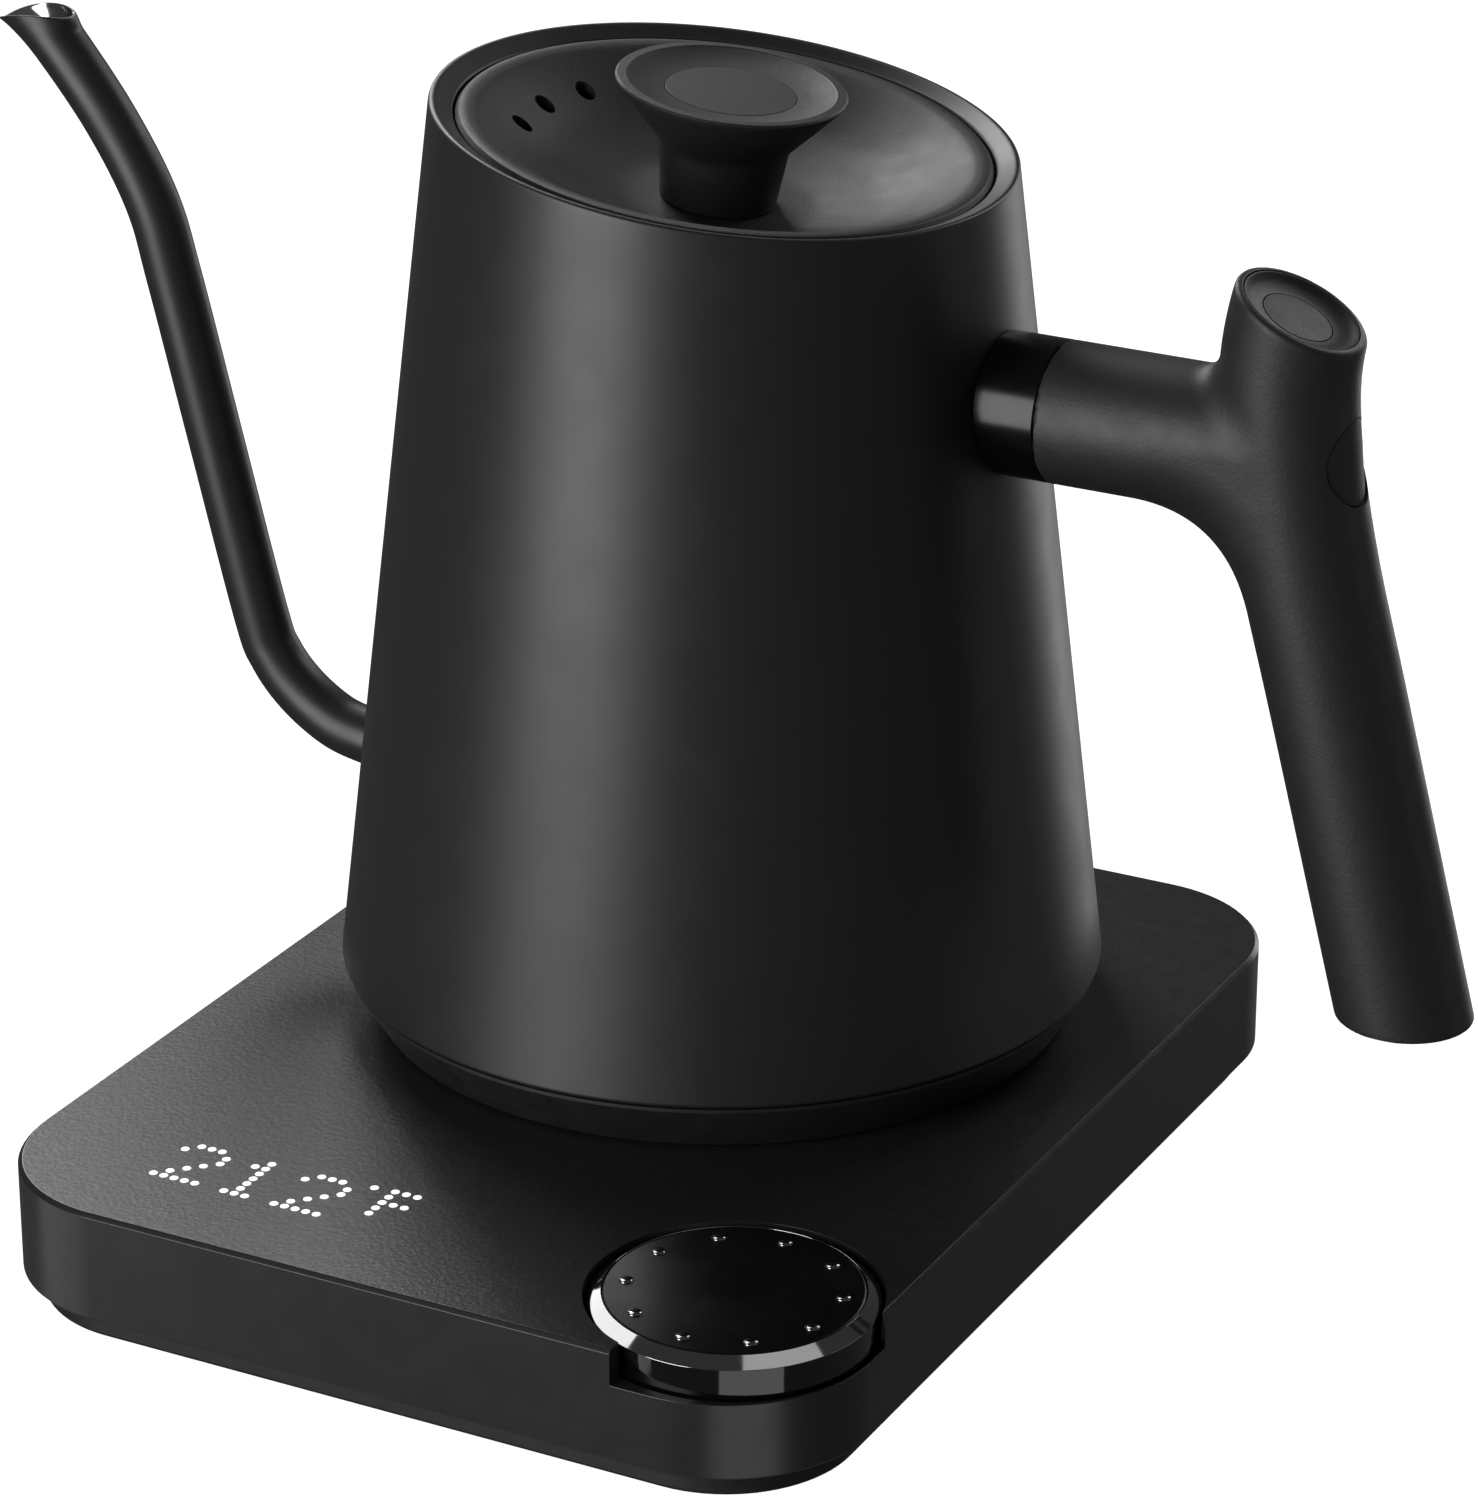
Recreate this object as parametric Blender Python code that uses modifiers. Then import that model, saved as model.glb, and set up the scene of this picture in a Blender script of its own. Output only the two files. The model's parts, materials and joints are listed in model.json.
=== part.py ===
"""Electric gooseneck kettle on a flat heating base with a push dial.

Sizes below are millimetres; helpers turn them into metres. +Z is up, z = 0 is the table,
and the origin is the kettle's axis at the table. The spout points along -X, the handle
along +X, and the dial is in the base's front (-Y) right corner.
"""

import math

import bmesh
import bpy
from mathutils import Matrix, Vector

MM = 0.001
GAP = 0.3  # clearance between neighbouring pieces

# Base
BASE_HALF_WIDTH = 73.1
BASE_FRONT = -115.3
BASE_BACK = 74.3
BASE_CORNER = 24.2
BASE_TOP = 24.0
BASE_UNDERSIDE = 5.5
BASE_WALL = 2.5
BASE_CHAMFER = 0.8
PLINTH_INSET = 3.2
PLINTH_LOW = 1.0
PLINTH_HIGH = 6.5
FOOT_RADIUS = 7.0
FOOT_RECESS = 1.2
SCREW_PLACES = ((-60, 62), (60, 62), (-60, -102), (20, -103))
FOOT_PLACES = ((-52, 54), (52, 54), (-52, -94), (47, -72))
POST_RADIUS = 3.6
INLET_HEIGHT = 12.5

# Cordless connector, on the kettle's axis
COUPLER_RADIUS = 13.0
COUPLER_COLLAR = 15.7
COUPLER_RISE = 5.2
SOCKET_RADIUS = 19.0

# Display window under the base's top
DISPLAY_CENTRE = (-27.5, -93.0)
DISPLAY_SIZE = (48.0, 20.0, 3.0)

# Dial: heights are above the base's top
DIAL_CENTRE = (50.3, -91.2)
DIAL_RADIUS = 22.0
DIAL_FACE_RADIUS = 19.9
DIAL_TOP = 0.6
DIAL_CHAMFER_LOW = -0.9
DIAL_BEZEL_LOW = -2.2
DIAL_LOW = -5.9
RECESS_FLOOR = -6.8
RECESS_TOP_RADIUS = 22.65
RECESS_FLOOR_RADIUS = 22.4
RECESS_OPEN_X = 42.3
RECESS_OPEN_Y = -86.4
RECESS_SILL = -5.85
PLUNGER_RADIUS = 3.0
PLUNGER_HIGH = -3.7
PLUNGER_LOW = -13.6

# Kettle: heights are above the base's top
BODY_LOW = 9.3
BODY_LOW_RADIUS = 62.6
BODY_TAPER = 0.119
BODY_WALL = 1.4
SKIRT_FOOT_RADIUS = 56.8
PLATE_HIGH = 18.0
RIM_CENTRE = (1.0, 148.85)
RIM_RADIUS = 46.5
RIM_TILT = math.radians(7.7)
NECK_RADIUS = 42.6
NECK_DEPTH = 12.0
RIM_BAND_DROP = 1.35

# Spout: stations of its centre line as (x, height, radius)
SPOUT_WALL = 0.8
SPOUT_PATH = (
    (-61.4, 32.0, 4.8),
    (-67.0, 32.5, 4.8),
    (-73.5, 34.1, 4.75),
    (-80.3, 38.4, 4.7),
    (-85.2, 44.0, 4.65),
    (-88.0, 51.0, 4.65),
    (-95.7, 81.0, 4.65),
    (-102.6, 108.0, 4.65),
    (-106.5, 121.0, 4.55),
    (-113.9, 133.8, 4.5),
    (-123.7, 146.1, 4.6),
    (-132.0, 155.0, 5.2),
)
SPOUT_MOUTH = (-127.6, 149.8)
SPOUT_MOUTH_TILT = math.radians(-6.5)
BEAK_PATH = (
    (-117.5, 138.6, 4.2),
    (-122.5, 144.4, 4.1),
    (-127.6, 148.2, 3.7),
    (-132.7, 151.0, 2.7),
    (-137.4, 153.2, 2.3),
)

# Handle: an arm along +X that meets a grip with a short stub above and a long leg below
ARM_HEIGHT = 111.65
ARM_RADIUS = 11.2
COLLAR_END = 59.2
GRIP_PATH = (
    (101.5, 143.0, 10.75),
    (98.0, 134.2, 10.75),
    (96.5, 122.8, 10.7),
    (97.7, 109.0, 10.7),
    (101.0, 93.0, 10.6),
    (107.3, 69.6, 10.55),
    (122.7, 12.0, 10.55),
)
GRIP_END = 22.4
BEND_PATH = (
    (72.0, 111.65, 10.9),
    (84.0, 109.6, 10.9),
    (92.3, 103.6, 10.7),
    (98.8, 94.5, 10.4),
    (103.2, 84.5, 10.1),
)
CAP_CENTRE = (98.0, 134.2)
CAP_TILT = math.radians(26.0)
CAP_RADIUS = 9.6
CAP_DISC_RADIUS = 5.7
BRACKET_RADIUS = 6.0
BRACKET_END = 74.0
SCREW_HEAD_X = 98.0
PLUG_RADIUS = 6.7

# Lid: heights are along the lid's own axis, from the rim's plane
LID_RADIUS = 42.2
LID_EDGE = -1.5
LID_SKIRT = -7.0
STEM_FOOT_RADIUS = 9.2
STEM_FOOT = -11.9
KNOB_RADIUS = 18.2
KNOB_TOP = 7.2
KNOB_DISC_RADIUS = 10.3
KNOB_DISC_TOP = 5.9
LINER_LOW = -17.5
VENT_RING = 32.0
VENT_STEP = math.radians(18.5)
VENT_RADIUS = 1.7


# ---------------------------------------------------------------- scene and helpers


def clear_scene():
    for old in list(bpy.data.objects):
        bpy.data.objects.remove(old)


def collection(name):
    made = bpy.data.collections.new(name)
    bpy.context.scene.collection.children.link(made)
    return made


def finish(name, colour, roughness, metallic=0.0):
    """A Principled material."""
    made = bpy.data.materials.new(name)
    made.use_nodes = True
    shader = made.node_tree.nodes["Principled BSDF"]
    shader.inputs["Base Color"].default_value = (*colour, 1.0)
    shader.inputs["Roughness"].default_value = roughness
    shader.inputs["Metallic"].default_value = metallic
    return made


def frame(name, place, tilt=0.0, parent=None):
    """An empty at place (mm), turned about Y by tilt, that pieces are parented to."""
    empty = bpy.data.objects.new(name, None)
    empty.location = Vector(place) * MM
    empty.rotation_euler = (0.0, tilt, 0.0)
    empty.parent = parent
    PARTS.objects.link(empty)
    return empty


def place(mesh, name, look, parent):
    """Makes mesh an object of the kettle, or a hidden cutter where look is None."""
    piece = bpy.data.objects.new(name, mesh)
    piece.parent = parent
    if look is None:
        CUTTERS.objects.link(piece)
        piece.hide_render = True
        piece.display_type = "WIRE"
    else:
        PARTS.objects.link(piece)
        mesh.materials.append(look)
    return piece


def mesh_from(bm, name):
    bmesh.ops.recalc_face_normals(bm, faces=bm.faces)
    mesh = bpy.data.meshes.new(name)
    bm.to_mesh(mesh)
    bm.free()
    mesh.shade_smooth()
    mesh.set_sharp_from_angle(angle=math.radians(30))
    return mesh


def turned(name, profile, look, parent, steps=32):
    """A profile of (radius, height) turned about the parent's Z, run down its outer side.

    A profile that starts and ends on the axis makes a full solid, any other one a ring.
    """
    mesh = bpy.data.meshes.new(name)
    points = [(radius * MM, 0.0, height * MM) for radius, height in profile]
    edges = [(i, i + 1) for i in range(len(points) - 1)]
    if profile[0][0] > 0:
        edges.append((len(points) - 1, 0))
    mesh.from_pydata(points, edges, [])
    piece = place(mesh, name, look, parent)
    screw = piece.modifiers.new("turn", "SCREW")
    screw.steps = steps
    screw.render_steps = steps
    screw.use_merge_vertices = True
    screw.merge_threshold = 0.00001
    screw.use_smooth_shade = True
    return piece


def rod(name, radius, start, end, look, parent, sides=32, end_radius=None):
    """A cylinder or cone between two points."""
    start, end = Vector(start) * MM, Vector(end) * MM
    axis = end - start
    bm = bmesh.new()
    turn = Vector((0, 0, 1)).rotation_difference(axis).to_matrix().to_4x4()
    bmesh.ops.create_cone(
        bm,
        cap_ends=True,
        segments=sides,
        radius1=radius * MM,
        radius2=(radius if end_radius is None else end_radius) * MM,
        depth=axis.length,
        matrix=Matrix.Translation((start + end) / 2) @ turn,
    )
    return place(mesh_from(bm, name), name, look, parent)


def block(name, low, high, look, parent):
    """A box between two corners."""
    low, high = Vector(low) * MM, Vector(high) * MM
    bm = bmesh.new()
    size = Matrix.Diagonal((*(high - low), 1.0))
    bmesh.ops.create_cube(bm, size=1.0, matrix=Matrix.Translation((low + high) / 2) @ size)
    return place(mesh_from(bm, name), name, look, parent)


def slab(name, inset, low, high, look, parent, chamfer=0.0):
    """The base's rounded outline, drawn in by inset, as a plate from low to high."""
    x = BASE_HALF_WIDTH - inset
    corners = ((-x, BASE_FRONT + inset, low), (x, BASE_BACK - inset, high))
    piece = block(name, *corners, look, parent)
    bm = bmesh.new()
    bm.from_mesh(piece.data)
    upright = [e for e in bm.edges if abs(e.verts[0].co.z - e.verts[1].co.z) > MM]
    radius = (BASE_CORNER - inset) * MM
    bmesh.ops.bevel(bm, geom=upright, offset=radius, segments=6, profile=0.5, affect="EDGES")
    if chamfer:
        top = [e for e in bm.edges if min(v.co.z for v in e.verts) > (high - 0.01) * MM]
        bmesh.ops.bevel(bm, geom=top, offset=chamfer * MM, segments=1, affect="EDGES")
    bm.to_mesh(piece.data)
    bm.free()
    return piece


def tube(name, stations, look, parent, grow=0.0, sides=12):
    """A round tube along a smooth line through stations of (x, height, radius) at y = 0."""
    curve = bpy.data.curves.new(name, "CURVE")
    curve.dimensions = "3D"
    curve.resolution_u = 3
    curve.bevel_depth = MM
    curve.bevel_resolution = sides // 4 - 1
    curve.use_fill_caps = True
    spline = curve.splines.new("BEZIER")
    spline.bezier_points.add(len(stations) - 1)
    for point, (x, height, radius) in zip(spline.bezier_points, stations):
        point.co = Vector((x, 0.0, height)) * MM
        point.radius = radius + grow
        point.handle_left_type = point.handle_right_type = "AUTO"
    holder = bpy.data.objects.new(name, curve)
    PARTS.objects.link(holder)
    evaluated = holder.evaluated_get(bpy.context.evaluated_depsgraph_get())
    bm = bmesh.new()
    bm.from_mesh(bpy.data.meshes.new_from_object(evaluated))
    bpy.data.objects.remove(holder)
    bmesh.ops.remove_doubles(bm, verts=bm.verts, dist=0.00001)
    return place(mesh_from(bm, name), name, look, parent)


def combine(piece, *others, operation="DIFFERENCE"):
    for other in others:
        boolean = piece.modifiers.new(other.name, "BOOLEAN")
        boolean.operation = operation
        boolean.object = other


def smooth_through(points, pieces=4):
    """Points on a Catmull-Rom curve through points, ends included."""
    ends = [points[0], *points, points[-1]]
    line = []
    for a, b, c, d in zip(ends, ends[1:], ends[2:], ends[3:]):
        a, b, c, d = Vector(a), Vector(b), Vector(c), Vector(d)
        for i in range(pieces):
            t = i / pieces
            line.append(0.5 * (2 * b + (c - a) * t + (2 * a - 5 * b + 4 * c - d) * t**2
                               + (3 * b - 3 * c + d - a) * t**3))
    return [tuple(p) for p in line] + [tuple(points[-1])]


def body_radius(height):
    return BODY_LOW_RADIUS - BODY_TAPER * (height - BODY_LOW)


def body_cutter(name):
    """The kettle's outer cone with clearance, for trimming what butts against it."""
    grown = GAP + 0.05
    return turned(
        name,
        [(0, 160), (body_radius(160) + grown, 160), (body_radius(5) + grown, 5), (0, 5)],
        None,
        KETTLE,
        steps=48,
    )


# ---------------------------------------------------------------- base


def make_base_cover():
    cover = slab("base_cover", 0.0, BASE_UNDERSIDE, BASE_TOP, BASE_BLACK, BASE, BASE_CHAMFER)
    cavity = slab("cover_cavity", BASE_WALL, 0.0, BASE_TOP - BASE_WALL, None, BASE)
    x, y = DIAL_CENTRE
    floor = BASE_TOP + RECESS_FLOOR
    boss = rod(
        "dial_recess_wall", RECESS_TOP_RADIUS + 2.2,
        (x, y, floor - 2.2), (x, y, BASE_TOP + 5), None, BASE, sides=36,
    )
    combine(cavity, boss)
    for i, (px, py) in enumerate(SCREW_PLACES):
        post = rod(f"post_{i}", POST_RADIUS, (px, py, PLINTH_HIGH + GAP), (px, py, 30), None, BASE, 16)
        combine(cavity, post)
    combine(cover, cavity)
    for i, (px, py) in enumerate(SCREW_PLACES):
        combine(cover, rod(f"pilot_{i}", 1.5, (px, py, 0), (px, py, 18), None, BASE, 12))
    hole = rod("coupler_hole", COUPLER_COLLAR + GAP, (0, 0, 15), (0, 0, 30), None, BASE, 36)
    recess = rod(
        "dial_recess", RECESS_FLOOR_RADIUS, (x, y, floor), (x, y, BASE_TOP + 0.01), None, BASE,
        sides=48, end_radius=RECESS_TOP_RADIUS,
    )
    corner = block(
        "dial_recess_corner",
        (RECESS_OPEN_X, BASE_FRONT - 5, BASE_TOP + RECESS_SILL),
        (BASE_HALF_WIDTH + 5, RECESS_OPEN_Y, BASE_TOP + 5),
        None,
        BASE,
    )
    shaft = rod("dial_shaft_hole", PLUNGER_RADIUS + 0.6, (x, y, 10), (x, y, 20), None, BASE, 24)
    wall = BASE_BACK - BASE_WALL
    inlet = rod(
        "inlet_hole", 5.2, (0, wall - 3, INLET_HEIGHT), (0, BASE_BACK + 3, INLET_HEIGHT), None, BASE, 24
    )
    combine(cover, hole, recess, corner, shaft, inlet)


def make_plinth():
    plinth = slab("base_plinth", PLINTH_INSET, PLINTH_LOW, PLINTH_HIGH, BASE_BLACK, BASE)
    for i, (x, y) in enumerate(FOOT_PLACES):
        high = PLINTH_LOW + FOOT_RECESS
        combine(plinth, rod(f"foot_recess_{i}", FOOT_RADIUS + GAP, (x, y, 0), (x, y, high), None, BASE, 20))
    for i, (x, y) in enumerate(SCREW_PLACES):
        combine(
            plinth,
            rod(f"screw_sink_{i}", 3.2, (x, y, 0), (x, y, 3.4), None, BASE, 16),
            rod(f"screw_way_{i}", 1.6, (x, y, 0), (x, y, 9), None, BASE, 12),
        )


def make_feet_and_screws():
    for i, (x, y) in enumerate(FOOT_PLACES, 1):
        top = PLINTH_LOW + FOOT_RECESS - GAP
        holder = frame(f"foot_place_{i}", (x, y, 0), parent=BASE)
        turned(
            f"base_foot_{i}",
            [(0, top), (FOOT_RADIUS, top), (FOOT_RADIUS, 0.4), (FOOT_RADIUS - 0.4, 0), (0, 0)],
            RUBBER, holder, steps=20,
        )
    for i, (x, y) in enumerate(SCREW_PLACES, 1):
        holder = frame(f"screw_place_{i}", (x, y, 0), parent=BASE)
        turned(
            f"base_screw_{i}",
            [(0, 14), (1.2, 14), (1.2, 3.1), (2.8, 3.1), (2.8, 1.9), (2.2, 1.5), (0, 1.5)],
            STEEL, holder, steps=10,
        )


def make_base_coupler():
    """The male half of the connector: a ringed dome through the cover, round a centre pin."""
    top = BASE_TOP
    turned(
        "base_coupler",
        [
            (5.0, top + COUPLER_RISE), (COUPLER_RADIUS - 0.8, top + COUPLER_RISE),
            (COUPLER_RADIUS, top + COUPLER_RISE - 0.8), (COUPLER_RADIUS, top - 0.4),
            (COUPLER_COLLAR, top - 0.4), (COUPLER_COLLAR, top - 3.2), (19.0, top - 3.2),
            (19.0, top - 7.0), (5.0, top - 7.0),
        ],
        GLOSS_BLACK, BASE,
    )
    turned(
        "coupler_contact",
        [(0, top + 4.4), (1.4, top + 4.2), (2.0, top + 3.6), (2.0, top - 8.5),
         (4.2, top - 8.5), (4.2, top - 9.5), (0, top - 9.5)],
        BRASS, BASE, steps=16,
    )


def make_base_electronics():
    x, y = DISPLAY_CENTRE
    w, d, h = DISPLAY_SIZE
    high = BASE_TOP - BASE_WALL - GAP
    block("display_module", (x - w / 2, y - d / 2, high - h), (x + w / 2, y + d / 2, high), BOARD, BASE)
    block("control_board", (-44, 26, 9.0), (44, 60, 10.6), BOARD, BASE)
    x, y = DIAL_CENTRE
    encoder = block("dial_encoder", (x - 7, y - 7, 7.4), (x + 7, y + 7, 14.6), STEEL, BASE)
    combine(encoder, rod("encoder_bore", PLUNGER_RADIUS + GAP, (x, y, 9.0), (x, y, 20), None, BASE, 24))


def make_cord_inlet():
    """A grommet in the rear wall, where the mains cord enters."""
    holder = frame("inlet_place", (0, BASE_BACK, INLET_HEIGHT), parent=BASE)
    holder.rotation_euler = (-math.pi / 2, 0, 0)
    turned(
        "cord_inlet",
        [(4.2, 1.9), (6.4, 1.5), (6.8, 0.9), (6.8, GAP), (4.9, GAP), (4.9, -6.0), (3.3, -6.0), (3.3, 1.6)],
        RUBBER, holder, steps=20,
    )


# ---------------------------------------------------------------- dial


def make_dial():
    turned(
        "dial_plunger",
        [(0, PLUNGER_HIGH), (PLUNGER_RADIUS, PLUNGER_HIGH), (PLUNGER_RADIUS, PLUNGER_LOW), (0, PLUNGER_LOW)],
        STEEL, DIAL, steps=24,
    )
    bore = PLUNGER_RADIUS + GAP
    side = DIAL_RADIUS - 0.35
    turned(
        "dial_body",
        [(0, DIAL_BEZEL_LOW - GAP), (side, DIAL_BEZEL_LOW - GAP), (side, DIAL_LOW + 0.4),
         (side - 0.4, DIAL_LOW), (bore, DIAL_LOW), (bore, PLUNGER_HIGH + GAP), (0, PLUNGER_HIGH + GAP)],
        GLOSS_BLACK, DIAL, steps=36,
    )
    inner = DIAL_FACE_RADIUS - 0.2
    turned(
        "dial_bezel",
        [(inner, DIAL_TOP - 0.15), (DIAL_FACE_RADIUS, DIAL_TOP), (DIAL_RADIUS, DIAL_CHAMFER_LOW),
         (DIAL_RADIUS, DIAL_BEZEL_LOW), (inner, DIAL_BEZEL_LOW)],
        DARK_CHROME, DIAL, steps=36,
    )
    face = inner - GAP
    turned(
        "dial_face",
        [(0, DIAL_TOP), (face - 0.2, DIAL_TOP), (face, DIAL_TOP - 0.2), (face, DIAL_BEZEL_LOW),
         (0, DIAL_BEZEL_LOW)],
        GLOSS_BLACK, DIAL, steps=36,
    )


# ---------------------------------------------------------------- kettle


def make_kettle_bottom():
    turned(
        "kettle_coupler",
        [(0, 10.0), (SOCKET_RADIUS, 10.0), (SOCKET_RADIUS, 0.8), (COUPLER_RADIUS + 1.2, 0.8),
         (COUPLER_RADIUS + 0.6, 1.6), (COUPLER_RADIUS + 0.6, 7.0), (0, 7.0)],
        GLOSS_BLACK, KETTLE, steps=32,
    )
    high = BODY_LOW - GAP
    turned(
        "bottom_cover",
        [(61.9, high), (61.9, high - 0.6), (SKIRT_FOOT_RADIUS + 0.4, 0.7), (SKIRT_FOOT_RADIUS, 0.3),
         (53.5, 0.3), (52.0, 1.6), (SOCKET_RADIUS + 0.6, 1.6), (SOCKET_RADIUS + 0.6, 4.0), (51.5, 4.0),
         (59.0, high)],
        BASE_BLACK, KETTLE, steps=40,
    )
    reach = body_radius(PLATE_HIGH) - BODY_WALL - GAP - 0.1
    turned(
        "heating_plate",
        [(0, PLATE_HIGH), (reach - 1.5, PLATE_HIGH), (reach, PLATE_HIGH - 1.5), (reach, PLATE_HIGH - 6),
         (reach - 1.5, PLATE_HIGH - 6), (reach - 1.5, PLATE_HIGH - 2), (0, PLATE_HIGH - 2)],
        STEEL, KETTLE, steps=32,
    )
    ring = [(38 + 3.2 * math.cos(a), 12.4 + 3.2 * math.sin(a)) for a in (-math.pi * i / 4 for i in range(8))]
    turned("heating_element", ring, STEEL, KETTLE, steps=28)
    rod("thermostat", 8.0, (0, 0, 10.4), (0, 0, 15.4), BASE_BLACK, KETTLE, 24)
    holder = frame("probe_place", (22, 14, 0), parent=KETTLE)
    turned(
        "temperature_probe",
        [(0, 34), (1.6, 33.4), (2.4, 31.8), (2.4, PLATE_HIGH + 2), (4.5, PLATE_HIGH + 2),
         (4.5, PLATE_HIGH + GAP), (0, PLATE_HIGH + GAP)],
        STEEL, holder, steps=14,
    )


def make_kettle_body():
    """A tapered wall cut by the slanted rim plane, joined to a rim that turns on the lid's axis."""
    high = 165.0
    low = BODY_LOW
    wall = turned(
        "kettle_body",
        [
            (body_radius(high), high), (body_radius(low + 1.2), low + 1.2),
            (body_radius(low) - 0.35, low + 0.3), (body_radius(low) - 0.9, low),
            (body_radius(low) - BODY_WALL, low), (body_radius(high) - BODY_WALL, high),
        ],
        BODY_BLACK, KETTLE, steps=48,
    )
    above = block("above_rim", (-80, -80, -0.25), (80, 80, 60), None, LID)
    band_low = -RIM_BAND_DROP
    rim = turned(
        "rim_ring",
        [
            (RIM_RADIUS - 0.75, -0.05), (RIM_RADIUS - 0.35, -0.9), (RIM_RADIUS - 0.35, -2.4),
            (NECK_RADIUS + 1.2, -4.5), (NECK_RADIUS + 1.2, -NECK_DEPTH), (NECK_RADIUS, -NECK_DEPTH),
            (NECK_RADIUS, band_low - 0.3), (NECK_RADIUS + 0.3, band_low),
        ],
        None, LID, steps=48,
    )
    height = SPOUT_PATH[0][1]
    way = rod("spout_way", 4.3, (-70, 0, height), (-50, 0, height), None, KETTLE, 24)
    combine(wall, above)
    combine(wall, rim, operation="UNION")
    combine(wall, way)


def make_spout():
    spout = tube("spout", SPOUT_PATH, BODY_BLACK, KETTLE)
    combine(spout, tube("spout_beak", BEAK_PATH, None, KETTLE), operation="UNION")
    bore_path = ((-55.0, 32.0, 4.8), *SPOUT_PATH, (-140.0, 163.0, 5.2))
    inner = tube("spout_bore", bore_path, None, KETTLE, -SPOUT_WALL)
    beak_bore = tube("beak_bore", BEAK_PATH, None, KETTLE, -SPOUT_WALL)
    mouth = frame("mouth_place", (SPOUT_MOUTH[0], 0, SPOUT_MOUTH[1]), SPOUT_MOUTH_TILT, KETTLE)
    trim = block("spout_trim", (-20, -20, 0), (20, 20, 25), None, mouth)
    combine(spout, body_cutter("spout_fit"), inner, beak_bore, trim)


def make_handle():
    z = ARM_HEIGHT
    collar = rod("handle_collar", ARM_RADIUS, (44, 0, z), (COLLAR_END, 0, z), GLOSS_BLACK, KETTLE, 32)
    combine(
        collar,
        body_cutter("collar_fit"),
        rod("collar_bore", BRACKET_RADIUS + GAP, (40, 0, z), (64, 0, z), None, KETTLE, 24),
    )
    bracket = rod("handle_bracket", BRACKET_RADIUS, (44, 0, z), (BRACKET_END, 0, z), STEEL, KETTLE, 24)
    combine(
        bracket,
        body_cutter("bracket_fit"),
        rod("bracket_thread", 2.3, (62, 0, z), (80, 0, z), None, KETTLE, 16),
    )
    screw_frame = frame("screw_place", (SCREW_HEAD_X, 0, z), math.pi / 2, KETTLE)
    turned(
        "handle_screw",
        [(0, 3.0), (3.6, 3.0), (4.0, 2.4), (4.0, 0), (2.0, 0), (2.0, -34), (0, -34)],
        STEEL, screw_frame, steps=14,
    )
    grip = rod("handle_grip", ARM_RADIUS, (COLLAR_END + GAP, 0, z), (97, 0, z), GRIP_BLACK, KETTLE, 32)
    combine(
        grip,
        tube("grip_bend", BEND_PATH, None, KETTLE, sides=24),
        tube("grip_spine", GRIP_PATH, None, KETTLE, sides=24),
        operation="UNION",
    )
    combine(
        grip,
        block("grip_top_trim", (-40, -20, 0), (40, 20, 30), None, CAP),
        block("grip_end_trim", (100, -20, -10), (150, 20, GRIP_END), None, KETTLE),
        rod("cap_seat", CAP_RADIUS + 0.2, (0, 0, -5.2), (0, 0, 5), None, CAP, 28),
        rod("grip_socket", BRACKET_RADIUS + GAP, (50, 0, z), (76, 0, z), None, KETTLE, 24),
        rod("grip_screw_way", 2.5, (70, 0, z), (SCREW_HEAD_X, 0, z), None, KETTLE, 16),
        rod("grip_plug_seat", PLUG_RADIUS + 0.2, (SCREW_HEAD_X - GAP, 0, z), (120, 0, z), None, KETTLE, 24),
    )
    plug_low = (SCREW_HEAD_X + 3.4, 0, z)
    plug = rod("handle_plug", PLUG_RADIUS - 0.05, plug_low, (112, 0, z), GRIP_BLACK, KETTLE, 24)
    outside = rod("plug_face", 10.4, (96.7, 0, 90), (96.7, 0, 130), None, KETTLE, 40)
    combine(plug, outside, operation="INTERSECT")
    concave = smooth_through([(CAP_RADIUS - 0.5, 0.0), (8.0, -0.9), (CAP_DISC_RADIUS + GAP, -1.5)], 3)
    turned(
        "handle_cap",
        [(CAP_RADIUS, -0.3), (CAP_RADIUS, -4.8), (CAP_DISC_RADIUS + GAP, -4.8), *reversed(concave)],
        GRIP_BLACK, CAP, steps=28,
    )
    turned(
        "handle_cap_disc",
        [(0, -1.5), (CAP_DISC_RADIUS, -1.5), (CAP_DISC_RADIUS, -4.8), (0, -4.8)],
        GRIP_BLACK, CAP, steps=28,
    )


# ---------------------------------------------------------------- lid


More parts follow.
